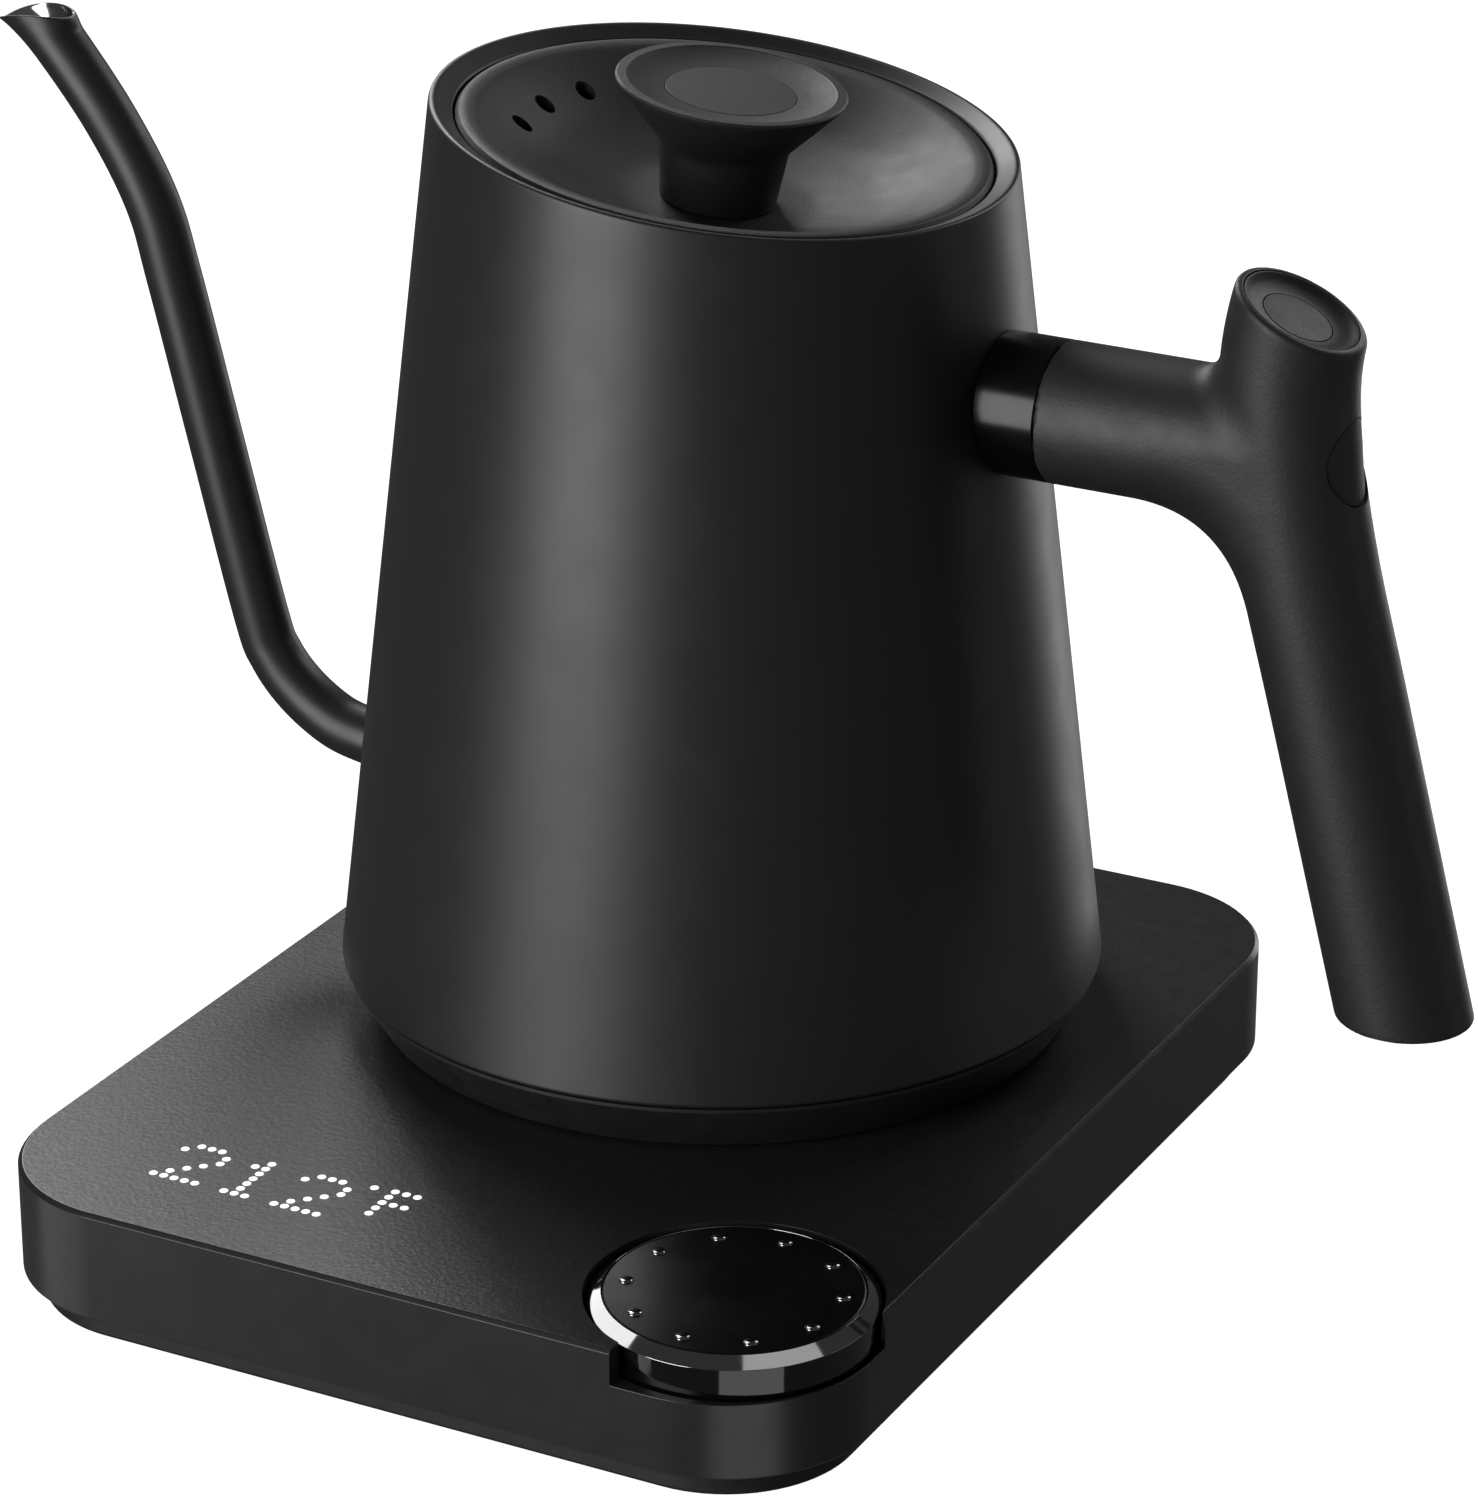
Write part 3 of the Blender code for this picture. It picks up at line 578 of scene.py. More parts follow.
def make_base_cover(side, top):
    mesh = plate(
        (0.4, COVER_LOW.z), (0, COVER_LOW.z + 0.4), (0, BASE_TOP - 0.72), (0.06, BASE_TOP - 0.62),
        (0.6, BASE_TOP - 0.07), (0.7, BASE_TOP - 0.02), (0.85, BASE_TOP),
    )
    floor = BASE_TOP - RECESS_FLOOR
    x, y = DIAL_AXIS.x, DIAL_AXIS.y
    place = Matrix.Translation((x * MM, y * MM, 0))
    recess = cylinder_cutter(
        RECESS_RADIUS - RECESS_DRAFT, floor, BASE_TOP + 1, place, 128,
        end_radius=RECESS_RADIUS + RECESS_DRAFT / RECESS_FLOOR,
    )
    sill = BASE_TOP - RECESS_SILL
    corner = box_cutter((RECESS_OPEN_X, COVER_LOW.y - 5, sill), (COVER_HIGH.x + 5, RECESS_OPEN_Y, BASE_TOP + 1))
    coupler = cylinder_cutter(COUPLER_HOLE, 15, 30, BASE)
    shaft = cylinder_cutter(SHAFT_HOLE, 10, 20, place, 32)
    rear = Matrix.Translation((0, COVER_HIGH.y * MM, INLET_HEIGHT * MM)) @ Matrix.Rotation(math.pi / 2, 4, "X")
    inlet = cylinder_cutter(INLET_HOLE, -4, 6, rear, 48)
    mesh = applied(mesh, recess, corner, coupler, inlet)
    hollow = bpy.data.objects.new("cutter", plate((COVER_WALL, 0), (COVER_WALL, BASE_TOP - COVER_WALL)))
    boss = cylinder_cutter(RECESS_RADIUS + RECESS_WALL, floor - RECESS_WALL, BASE_TOP + 1, place)
    hollow.data = applied(hollow.data, boss)
    mesh = applied(mesh, hollow)
    mesh = applied(mesh, shaft)

    def weight(edge):
        middle = (edge.verts[0].co + edge.verts[1].co) / 2 / MM
        one, two = (face.normal for face in edge.link_faces)
        near_dial = (middle.xy - Vector((x, y))).length < RECESS_RADIUS + 1.5
        in_corner = middle.x > RECESS_OPEN_X - 0.1 and middle.y < RECESS_OPEN_Y + 0.1
        is_edge = one.angle(two, 0.0) > math.radians(50) and middle.z > floor + 0.2
        return 1.0 if is_edge and (near_dial or in_corner) else 0.0

    mesh = weighted_bevel(mesh, weight, 0.14, 2)
    looks = [int(p.center.z / MM > BASE_TOP - 0.01 and p.normal.z > 0.99) for p in mesh.polygons]
    mesh.polygons.foreach_set("material_index", looks)
    even_shading(show(mesh, "base_cover_fine", "base", [side, top], ["base_cover"]))


def make_plinth(look):
    """The plinth, with its lower edge drawn in by a small round."""
    rings = []
    inset = COVER_HIGH.x - PLINTH_HIGH.x
    for step, z in rounded([(0, PLINTH_HIGH.z), (0, PLINTH_LOW.z, 0.8), (3, PLINTH_LOW.z)]):
        rings.append([(x, y, z) for x, y in outline(inset + step)])
    centre = (COVER_LOW.x + COVER_HIGH.x) / 2, (COVER_LOW.y + COVER_HIGH.y) / 2
    rings = [[(*centre, PLINTH_HIGH.z)], *rings, [(*centre, PLINTH_LOW.z)]]
    mesh = ring_mesh("plinth", [transformed(r, BASE) for r in rings])
    cutters = []
    for i in range(1, 5):
        low, high = node_box(f"base_foot_{i}")
        place = Matrix.Translation((*((low + high) / 2 * MM).xy, 0))
        cutters.append(cylinder_cutter((high.x - low.x) / 2 + 0.3, 0, high.z + 0.3, place, 48))
        low, high = node_box(f"base_screw_{i}")
        place = Matrix.Translation((*((low + high) / 2 * MM).xy, 0))
        cutters.append(cylinder_cutter(SCREW_HEAD_HOLE, 0, 3.4, place, 32))
        cutters.append(cylinder_cutter(SCREW_HOLE, 0, 9, place, 24))
    mesh = applied(mesh, *cutters)
    even_shading(show(mesh, "base_plinth_fine", "base", look, ["base_plinth"]))


def make_connector(look):
    """The two halves of the cordless connector: the base's dome and the kettle's socket over it."""
    top = BASE_TOP
    turned(
        "connector_dome",
        [(5.0, top + 5.2, 0.3), (12.2, top + 5.2, 0.8), (13.0, top + 4.0, 0.5), (13.0, top - 0.4),
         (15.7, top - 0.4, 0.3), (15.7, top - 3.2), (19.0, top - 3.2), (19.0, top - 7.0), (5.0, top - 7.0)],
        BASE, "base", look, ["base_coupler"], 96,
    )
    turned(
        "connector_socket",
        [(0, 10.0), (19.0, 10.0), (19.0, 0.8, 0.3), (14.2, 0.8, 0.3), (13.6, 1.6, 0.3), (13.6, 7.0), (0, 7.0)],
        KETTLE, "coupler_socket", look, ["kettle_coupler"], 96,
    )


# The display's figures, one row of dots a line, read as on the base: x to the right, then down
FIGURES = {
    "2": (" ### ", "#   #", "    #", "   # ", "  #  ", " #   ", "#####"),
    "1": ("  #  ", " ##  ", "  #  ", "  #  ", "  #  ", "  #  ", " ### "),
    "F": ("###", "#  ", "###", "#  ", "#  "),
    "o": ("#",),
}
DISPLAY = (
    ("2", -47.5, -88.0), ("1", -36.5, -88.0), ("2", -25.5, -88.0), ("o", -14.5, -87.3), ("F", -10.95, -87.0)
)
DOT_PITCH = (1.9, 1.82)
F_PITCH = (1.98, 1.97)
DOT_RADIUS = 0.71


def make_display(look):
    """Lit dots that stand flush on the base's top: 212 and a degree sign, in Fahrenheit."""
    bm = bmesh.new()
    for figure, left, top in DISPLAY:
        across, down = F_PITCH if figure == "F" else DOT_PITCH
        for row, line in enumerate(FIGURES[figure]):
            for column, mark in enumerate(line):
                if mark == " ":
                    continue
                place = Vector((left + column * across, top - row * down, BASE_TOP + 0.02)) * MM
                bmesh.ops.create_cone(
                    bm, cap_ends=True, segments=20, radius1=DOT_RADIUS * MM, radius2=(DOT_RADIUS - 0.06) * MM,
                    depth=0.1 * MM, matrix=Matrix.Translation(place),
                )
    mesh = bpy.data.meshes.new("display_dots")
    bm.to_mesh(mesh)
    bm.free()
    show(mesh, "display_dots", "base", look)


# ---------------------------------------------------------------- dial


def make_dial(face_look, gloss, chrome, bead):
    """The gloss face, the polished chamfer round it, the gloss drum below and the beads on the face."""
    face = DIAL_FACE_RADIUS - 0.2
    turned(
        "dial_face_fine",
        [(0, 0.6), (face - 0.25, 0.6, 0.12), (face, 0.4), (face, -2.2), (0, -2.2)],
        DIAL, "dial", face_look, ["dial_face"],
    )
    bezel = turned(
        "dial_bezel_fine",
        [(face + 0.12, 0.35), (face + 0.2, 0.6, 0.06), (DIAL_RADIUS, -0.9, 0.12), (DIAL_RADIUS, -2.45),
         (face + 0.12, -2.45)],
        DIAL, "dial", [chrome, gloss], ["dial_bezel"],
    )
    upright = [int(abs(p.normal.z) < 0.3) for p in bezel.data.polygons]
    bezel.data.polygons.foreach_set("material_index", upright)
    side = DIAL_RADIUS - 0.1
    turned(
        "dial_body_fine",
        [(0, -2.5), (side, -2.5), (side, -5.85, 0.25), (3.3, -5.85), (3.3, -3.4), (0, -3.4)],
        DIAL, "dial", gloss, ["dial_body"],
    )
    bm = bmesh.new()
    for k in range(BEADS):
        a = (k + 0.5) * 2 * math.pi / BEADS
        spot = Vector((BEAD_RING * math.cos(a), BEAD_RING * math.sin(a), 0.6)) * MM
        place = DIAL @ Matrix.Translation(spot) @ Matrix.Diagonal((1, 1, BEAD_SQUEEZE, 1))
        bmesh.ops.create_uvsphere(bm, u_segments=32, v_segments=20, radius=BEAD_RADIUS * MM, matrix=place)
    mesh = bpy.data.meshes.new("dial_beads")
    bm.to_mesh(mesh)
    bm.free()
    show(mesh, "dial_beads", "dial", bead)


# ---------------------------------------------------------------- kettle


def cone_radius(height):
    return CONE_LOW_RADIUS - CONE_TAPER * (height - CONE_LOW)


def to_kettle(points):
    """World points in metres as millimetres about the kettle's axis, heights above the base's top."""
    return points / MM - np.array([0, 0, BASE_TOP])


def on_cone(angles, height):
    """For each angle about the lid's axis, how far from it the cone is at that lid height."""
    low, high = np.full(len(angles), 35.0), np.full(len(angles), 60.0)
    for _ in range(40):
        middle = (low + high) / 2
        p = to_kettle(transformed(circle(middle, angles, height), LID))
        inside = np.hypot(p[:, 0], p[:, 1]) < cone_radius(p[:, 2])
        low, high = np.where(inside, middle, low), np.where(inside, high, middle)
    return middle


def make_body(coating, inner):
    """A conical wall that rises to the slanted rim, with the sloping band and the neck inside it."""
    a = around(256)

    def lid_ring(radius, height):
        return transformed(circle(radius, a, height), LID)

    edge = on_cone(a, -0.8)
    top = to_kettle(lid_ring(edge, -0.8))
    turn = np.arctan2(top[:, 1], top[:, 0])

    def cone_ring(radius, height):
        return transformed(circle(radius, turn, height), KETTLE)

    rings, bands = [], []

    def add(points, look=0):
        rings.append(points)
        bands.append(look)

    # up the outside, over the lip and down the band
    base = cone_ring(cone_radius(CONE_LOW) - 0.9, CONE_LOW)
    add(base)
    for inset, rise in ((0.6, 0.05), (0.3, 0.2), (0.1, 0.45), (0.0, 0.85)):
        add(cone_ring(cone_radius(CONE_LOW + rise) - inset, CONE_LOW + rise))
    bottom = to_kettle(rings[-1])
    for k in range(1, 13):
        add(transformed(bottom + (top - bottom) * k / 12, KETTLE))
    for inset, height in ((0.07, -0.44), (0.2, -0.18), (0.42, -0.045), (0.72, -0.045)):
        add(lid_ring(edge - inset, height))
    band_low = NECK_RADIUS + 0.5
    band_high = edge - 1.0
    for k in range(7):
        t = k / 6
        add(lid_ring(band_high + (band_low - band_high) * t, -0.08 - 1.22 * t))
    for radius, height in ((NECK_RADIUS + 0.2, -1.42), (NECK_RADIUS, -1.7)):
        add(lid_ring(radius, height))
    add(lid_ring(NECK_RADIUS, -11.7), 1)
    for radius, height in ((NECK_RADIUS + 0.3, -12.0), (NECK_RADIUS + 0.9, -12.0), (NECK_RADIUS + 1.2, -11.7)):
        add(lid_ring(radius, height), 1)
    add(lid_ring(NECK_RADIUS + 1.2, -5.0), 1)
    inner_top = to_kettle(lid_ring(edge - CONE_WALL, -3.4))
    low_edge = to_kettle(cone_ring(cone_radius(CONE_LOW) - CONE_WALL, CONE_LOW))
    for k in range(9):
        add(transformed(inner_top + (low_edge - inner_top) * k / 8, KETTLE), 1)
    mesh = ring_mesh("body", rings, wrap=True, bands=bands)
    leftwards = Matrix.Translation((0, 0, SPOUT_PATH[0][1] * MM)) @ Matrix.Rotation(-math.pi / 2, 4, "Y")
    mesh = applied(mesh, cylinder_cutter(SPOUT_HOLE, 50, 68, KETTLE @ leftwards, 48))
    even_shading(show(mesh, "kettle_body_fine", "kettle", [coating, inner], ["kettle_body"]))


def make_skirt(look):
    """The tapered cover below the kettle's seam."""
    high = CONE_LOW - 0.3
    turned(
        "bottom_cover_fine",
        [(61.9, high, 0.15), (61.9, high - 0.6, 0.2), (57.2, 0.6, 0.5), (56.7, 0.3), (53.5, 0.3, 0.4),
         (52.0, 1.6, 0.4), (19.6, 1.6), (19.6, 4.0), (51.5, 4.0), (59.0, high)],
        KETTLE, "kettle", look, ["bottom_cover"], 192,
    )


def make_heater(look):
    """The plate at the bottom of the water."""
    turned(
        "heating_plate_fine",
        [(0, 18.0), (58.0, 18.0, 1.2), (59.6, 16.5), (59.6, 12.0), (58.1, 12.0), (58.1, 16.0), (0, 16.0)],
        KETTLE, "kettle", look, ["heating_plate"], 128,
    )


def along(path, s):
    """Centre, radius and direction of a path in the XZ plane, at distances s along it, and its length."""
    line = np.array(smooth_through(path, 24))
    run = np.concatenate([[0], np.cumsum(np.hypot(*np.diff(line[:, :2], axis=0).T))])
    x, z, r = (np.interp(s, run, line[:, i]) for i in range(3))
    tx = np.interp(s + 0.6, run, line[:, 0]) - np.interp(s - 0.6, run, line[:, 0])
    tz = np.interp(s + 0.6, run, line[:, 1]) - np.interp(s - 0.6, run, line[:, 1])
    size = np.hypot(tx, tz)
    return x, z, r, tx / size, tz / size, run[-1]


def make_spout(coating, inner):
    """A thin tube from the body's cone to the mouth, whose outer lip runs out into a beak."""
    sides = 112
    a = around(sides)  # 0 is the outer side, where the lip is
    out, across = np.cos(a), np.sin(a)
    lip = np.clip(out, 0, 1)

    def point(s, shrink):
        x, z, r, tx, tz, _ = along(SPOUT_PATH, s)
        r = r - shrink
        return np.stack([x - tz * r * out, r * across, z + tx * r * out], axis=1)

    def mouth(shrink):
        """The mouth's edge: an oval that dips at both ends, drawn out to the lip."""
        return np.stack([
            MOUTH_PLACE[0] - (MOUTH_HALF[0] - shrink) * out + MOUTH_POINT * lip**4,
            (MOUTH_HALF[1] - shrink) * across * (1 - 0.2 * lip**2),
            MOUTH_PLACE[1] - MOUTH_FALL * out - MOUTH_ARCH * np.cos(2 * a),
        ], axis=1)

    def meet(shrink, outside, low, high):
        """Where each line along the tube crosses from outside(p) True to False."""
        low, high = np.full(sides, low), np.full(sides, high)
        for _ in range(40):
            middle = (low + high) / 2
            keep = outside(point(middle, shrink))
            low, high = np.where(keep, middle, low), np.where(keep, high, middle)
        return middle

    total = along(SPOUT_PATH, np.array([0.0]))[5]

    def surface(shrink, edge, rows=120, flare_rows=24):
        """Rings from the body to the mouth. The last few millimetres curve out to the mouth's edge."""
        rim = mouth(edge)
        start = meet(shrink, lambda p: np.hypot(p[:, 0], p[:, 1]) < cone_radius(p[:, 2]) + 0.02, 0.0, 20.0)
        reach = 2.5 + 5.5 * (1 + out) / 2
        turn = meet(shrink, lambda p: p[:, 2] < rim[:, 2] - reach, total * 0.5, total)
        rings = [point(start + (turn - start) * k / rows, shrink) for k in range(rows + 1)]
        low = rings[-1]
        _, _, _, tx, tz, _ = along(SPOUT_PATH, turn)
        leave = np.stack([tx, 0 * tx, tz], axis=1)
        pull = (((1 + out) / 2) ** 2)[:, None]
        arrive = (1 - pull) * np.array([-0.66, 0, 0.75]) + pull * np.array([-0.913, 0, 0.407])
        size = np.linalg.norm(rim - low, axis=1)[:, None]
        for k in range(1, flare_rows + 1):
            t = k / flare_rows
            rings.append(
                (2 * t**3 - 3 * t**2 + 1) * low + (t**3 - 2 * t**2 + t) * size * leave
                + (3 * t**2 - 2 * t**3) * rim + (t**3 - t**2) * size * arrive
            )
        rings[-1] = rings[-1] - [0, 0, 0.08]
        return rings

    outer = surface(0.0, 0.0)
    inside = surface(SPOUT_WALL, 0.5)
    rings = [*outer, mouth(0.1), mouth(0.4), *reversed(inside)]
    looks = [0] * (len(outer) + 1) + [1] * (len(inside) + 1)
    mesh = ring_mesh("spout", [transformed(r, KETTLE) for r in rings], wrap=True, bands=looks)
    show(mesh, "spout_fine", "kettle", [coating, inner], ["spout"])


# ---------------------------------------------------------------- handle


def path_distance(x, z, path):
    """Distance in the XZ plane from each point to the edge of the band that follows path."""
    line = np.array(smooth_through(path, 24))
    best = np.empty(len(x))
    for start in range(0, len(x), 4000):
        px, pz = x[start:start + 4000], z[start:start + 4000]
        gap = (px[:, None] - line[:, 0]) ** 2 + (pz[:, None] - line[:, 1]) ** 2
        i = np.clip(np.argmin(gap, axis=1), 1, len(line) - 2)
        rows = np.arange(len(px))
        before, here, after = gap[rows, i - 1], gap[rows, i], gap[rows, i + 1]
        t = np.clip((before - after) / (2 * (before - 2 * here + after) + 1e-12), -0.5, 0.5)[:, None]
        a, b, c = line[i - 1], line[i], line[i + 1]
        near = b + (c - a) / 2 * t + (a - 2 * b + c) / 2 * t**2
        best[start:start + 4000] = np.hypot(px - near[:, 0], pz - near[:, 1]) - near[:, 2]
    return best


def soft_union(a, b, reach):
    mix = np.clip(0.5 + 0.5 * (b - a) / reach, 0, 1)
    return b + (a - b) * mix - reach * mix * (1 - mix)


def round_cut(a, b, radius):
    """The part of a that is also in b, with the edge between them rounded."""
    both = np.hypot(np.maximum(a + radius, 0), np.maximum(b + radius, 0)) - radius
    return np.where((a > -radius) & (b > -radius), both, np.maximum(a, b))


def grip_distance(p):
    """Signed distance to the grip's outer surface, in millimetres about the kettle's axis.

    The side view's outline is filleted first, then given round edges, so that the sides stay smooth.
    """
    x, y, z = p.T
    arm = np.hypot(np.maximum(x - ARM_END, 0), z - ARM_REL) - ARM_RADIUS
    spine = path_distance(x, z, SPINE_PATH)
    middle = np.array(smooth_through(SPINE_PATH, 24))[::-1]
    reach = np.where(z > ARM_REL, TOP_FILLET, BOTTOM_FILLET)
    in_front = x < np.interp(z, middle[:, 1], middle[:, 0])
    side_view = np.where(in_front, soft_union(arm, spine, reach), spine)
    blend = np.clip((x - 78) / 16, 0, 1)
    half = ARM_RADIUS + (SPINE_PATH[3][2] - ARM_RADIUS) * blend**2 * (3 - 2 * blend)
    solid = np.hypot(np.maximum(side_view + half, 0), y) - half
    above = (x - CAP_PLACE[0]) * math.sin(CAP_TILT) + (z - CAP_PLACE[1]) * math.cos(CAP_TILT)
    solid = round_cut(solid, above, 0.9)
    solid = round_cut(solid, GRIP_END_REL - z, 0.5)
    return round_cut(solid, COLLAR_END + SEAM - x, 0.15)


def make_grip(look):
    """The grip: a voxel mesh of its tubes, moved onto their blended surface, then cut for its inserts."""
    bm = bmesh.new()
    arm_path = (COLLAR_END + SEAM, ARM_REL, ARM_RADIUS), (97.0, ARM_REL, ARM_RADIUS)
    for path in (SPINE_PATH, BEND_PATH, arm_path):
        line = np.array(smooth_through(path, 4))
        rings = [np.array([[line[0][0], 0, line[0][1]]])]
        for i, (x, z, r) in enumerate(line):
            d = line[min(i + 1, len(line) - 1)] - line[max(i - 1, 0)]
            d = d[:2] / np.hypot(*d[:2])
            a = around(40)
            rings.append(np.stack([x + r * np.cos(a) * d[1], r * np.sin(a), z - r * np.cos(a) * d[0]], axis=1))
        rings.append(np.array([[line[-1][0], 0, line[-1][1]]]))
        part = ring_mesh("part", [transformed(r, KETTLE) for r in rings])
        bm.from_mesh(part)
    mesh = bpy.data.meshes.new("grip")
    bm.to_mesh(mesh)
    bm.free()
    mesh = applied(
        remeshed(mesh, 0.9),
        box_cutter((-40, -30, 0), (40, 30, 40), CAP),
        box_cutter((80, -30, -20), (150, 30, GRIP_END_REL), KETTLE),
    )
    mesh = remeshed(mesh, 0.5)
    points = np.empty(len(mesh.vertices) * 3)
    mesh.vertices.foreach_get("co", points)
    points = to_kettle(points.reshape(-1, 3))
    for _ in range(6):
        d = grip_distance(points)
        slope = np.empty_like(points)
        for axis in range(3):
            nudge = np.zeros(3)
            nudge[axis] = 0.02
            slope[:, axis] = (grip_distance(points + nudge) - grip_distance(points - nudge)) / 0.04
        size = np.maximum((slope**2).sum(axis=1), 0.25)
        points -= 0.9 * slope * (np.clip(d, -1.0, 1.0) / size)[:, None]
    mesh.vertices.foreach_set("co", transformed(points, KETTLE).ravel())
    mesh.update()
    along_x = KETTLE @ Matrix.Translation((0, 0, ARM_REL * MM)) @ Matrix.Rotation(math.pi / 2, 4, "Y")
    mesh = applied(
        mesh,
        cylinder_cutter(CAP_RADIUS + INSERT_GAP, -5.2, 5, CAP, 128),
        cylinder_cutter(COLLAR_BORE, 50, 76, along_x, 48),
        cylinder_cutter(HANDLE_SCREW_HOLE, 70, 98, along_x, 24),
        cylinder_cutter(PLUG_RADIUS + INSERT_GAP, 97.7, 120, along_x),
    )
    show(mesh, "handle_grip_fine", "kettle", look, ["handle_grip"], sharp=40)


def make_collar(look):
    """The gloss sleeve, saddled onto the cone at one end and round at the other."""
    a = around(160)

    def at(radius, x):
        return transformed(
            np.stack([x + 0 * a, radius * np.sin(a), ARM_REL + radius * np.cos(a)], axis=1), KETTLE
        )

    def saddle(radius, gap=0.12):
        y, z = radius * np.sin(a), ARM_REL + radius * np.cos(a)
        return np.sqrt((cone_radius(z) + gap) ** 2 - y**2)

    rings = []
    for inset, gap in ((1.2, 0.12), (0.3, 0.12), (0.08, 0.2), (0.0, 0.4)):
        rings.append(at(ARM_RADIUS - inset, saddle(ARM_RADIUS - inset, gap)))
    start = saddle(ARM_RADIUS, 0.4)
    for k in range(1, 7):
        rings.append(at(ARM_RADIUS, start + (COLLAR_END - 0.2 - start) * k / 6))
    rings.append(at(ARM_RADIUS - 0.06, COLLAR_END - 0.06))
    rings.append(at(ARM_RADIUS - 0.2, COLLAR_END))
    rings.append(at(COLLAR_BORE, COLLAR_END))
    rings.append(at(COLLAR_BORE, saddle(COLLAR_BORE)))
    mesh = ring_mesh("collar", rings, wrap=True)
    even_shading(show(mesh, "handle_collar_fine", "kettle", look, ["handle_collar"]))


def back_of_grip(y, z):
    """How far back the grip's surface is, at each y and height."""
    half = SPINE_PATH[3][2]
    low, high = np.full(len(y), 98.0), np.full(len(y), 120.0)
    for _ in range(30):
        middle = (low + high) / 2
        inside = path_distance(middle, z, SPINE_PATH) < np.sqrt(half**2 - y**2) - half
        low, high = np.where(inside, middle, low), np.where(inside, high, middle)
    return middle


def make_plug(look):
    """The round cover of the handle's screw. Its face follows the grip, a little deeper at its lower edge."""
    a = around(96)
    seat = node_box("handle_plug")[0].x

    def at(radius, drop=0.0, x=None):
        y, z = radius * np.sin(a), ARM_REL + radius * np.cos(a)
        depth = PLUG_SINK[0] + PLUG_SINK[1] * np.clip((ARM_REL + 2 - z) / 8, 0, 1)
        face = back_of_grip(y, z) - depth - drop if x is None else x + 0 * y
        return transformed(np.stack([face, y, z], axis=1), KETTLE)

    edge = PLUG_RADIUS - 0.03
    rings = [transformed(to_kettle(at(0.01))[:1], KETTLE)]
    rings += [at(radius) for radius in (1.5, 3.0, 4.5, 5.6, edge - 0.3)]
    rings += [at(edge - 0.09, 0.06), at(edge, 0.25), at(edge, x=seat)]
    rings.append(transformed([[seat, 0, ARM_REL]], KETTLE))
    show(ring_mesh("plug", rings), "handle_plug_fine", "kettle", look, ["handle_plug"])


def make_cap(look):
    """The dished ring on top of the grip, round a flat disc."""
    inner = CAP_DISC_RADIUS + 0.15
    bowl = smooth_through([(CAP_RADIUS - 0.35, -0.12), (8.2, -0.85), (6.9, -1.32), (inner, -1.5)])
    turned(
        "handle_cap_fine",
        [(inner, -4.8), (CAP_RADIUS, -4.8), (CAP_RADIUS, -0.4), (CAP_RADIUS - 0.1, -0.02, 0.12), *bowl],
        CAP, "kettle", look, ["handle_cap"], 128,
    )
    turned(
        "handle_cap_disc_fine",
        [(0, -1.46), (CAP_DISC_RADIUS, -1.46, 0.08), (CAP_DISC_RADIUS, -4.8), (0, -4.8)],
        CAP, "kettle", look, ["handle_cap_disc"], 96,
    )


# ---------------------------------------------------------------- lid


VENT_RING = 32.0
VENT_STEP = 18.5
VENT_RADIUS = 1.7


def make_lid(look, inner, seal):
    """The dish with its vents, and the steel pan and the sealing ring under it."""
    bowl = smooth_through(
        [(40.0, -1.2), (38.6, -1.6), (35.5, -3.2), (32.0, -5.2), (26.0, -8.4), (18.0, -10.9), (12.5, -11.75),
         (3.2, -11.9)]
    )
    under = [(radius, height - 1.6) for radius, height in bowl[12:-1:6]] + [(3.2, -13.5)]
    profile = [
        *reversed(under), (40.2, -3.7), (40.2, -7.0), (42.2, -7.0), (42.2, -1.9, 0.3), (41.6, -1.2, 0.4),
        (40.8, -1.05), *bowl,
    ]
    rings = [transformed(ring(r, h, 224), LID) for r, h in rounded(profile)]
    mesh = ring_mesh("lid_dish", rings, wrap=True)
    vents = []
    for k in (-1, 0, 1):
        turn = Matrix.Rotation(math.radians(180 + k * VENT_STEP), 4, "Z")
        place = LID @ turn @ Matrix.Translation((VENT_RING * MM, 0, 0))
        vents.append(cylinder_cutter(VENT_RADIUS, -14, 3, place, 48))
    mesh = applied(mesh, *vents)
    even_shading(show(mesh, "lid_dish_fine", "lid", look, ["lid_dish"]))
    turned(
        "lid_liner_fine",
        [(39.8, -7.3), (39.8, -8.2), (37.6, -8.4, 0.3), (37.0, -16.0, 0.8), (35.5, -17.5, 0.8), (2.6, -17.5),
         (2.6, -16.7), (35.2, -16.7), (36.2, -15.8), (36.8, -7.3)],
        LID, "lid", inner, ["lid_liner"], 128,
    )
    turned(
        "lid_seal_fine",
        [(41.2, -7.3), (42.2, -7.9, 0.2), (41.4, -8.7, 0.2), (42.2, -9.5, 0.2), (41.4, -10.4, 0.2),
         (40.1, -10.4), (40.1, -7.3)],
        LID, "seal", seal, ["lid_seal"], 128,
    )


def make_knob(look, disc_look):
    """The flared knob, dished on top round a flat disc."""
    flare = smooth_through(
        [(18.2, 6.85), (17.75, 6.1), (16.7, 4.9), (14.4, 2.2), (11.6, -0.9), (10.3, -2.6), (9.9, -5.5),
         (9.2, -11.6)]
    )
    dish = smooth_through([(10.4, 5.84), (12.5, 6.12), (14.5, 6.55), (16.4, 7.13)])
    turned(
        "lid_knob_fine",
        [(0, 4.1), (10.4, 4.1), *dish, (16.5, 7.2, 0.04), (17.95, 7.2, 0.2), *flare, (2.3, -11.6), (2.3, -1.0),
         (0, -1.0)],
        LID, "lid", look, ["lid_knob"], 192,
    )
    turned(
        "knob_disc_fine",
        [(0, 5.9), (10.3, 5.9, 0.1), (10.3, 4.4), (0, 4.4)],
        LID, "lid", disc_look, ["knob_disc"], 160,
    )


# ---------------------------------------------------------------- what stays as the CAD made it


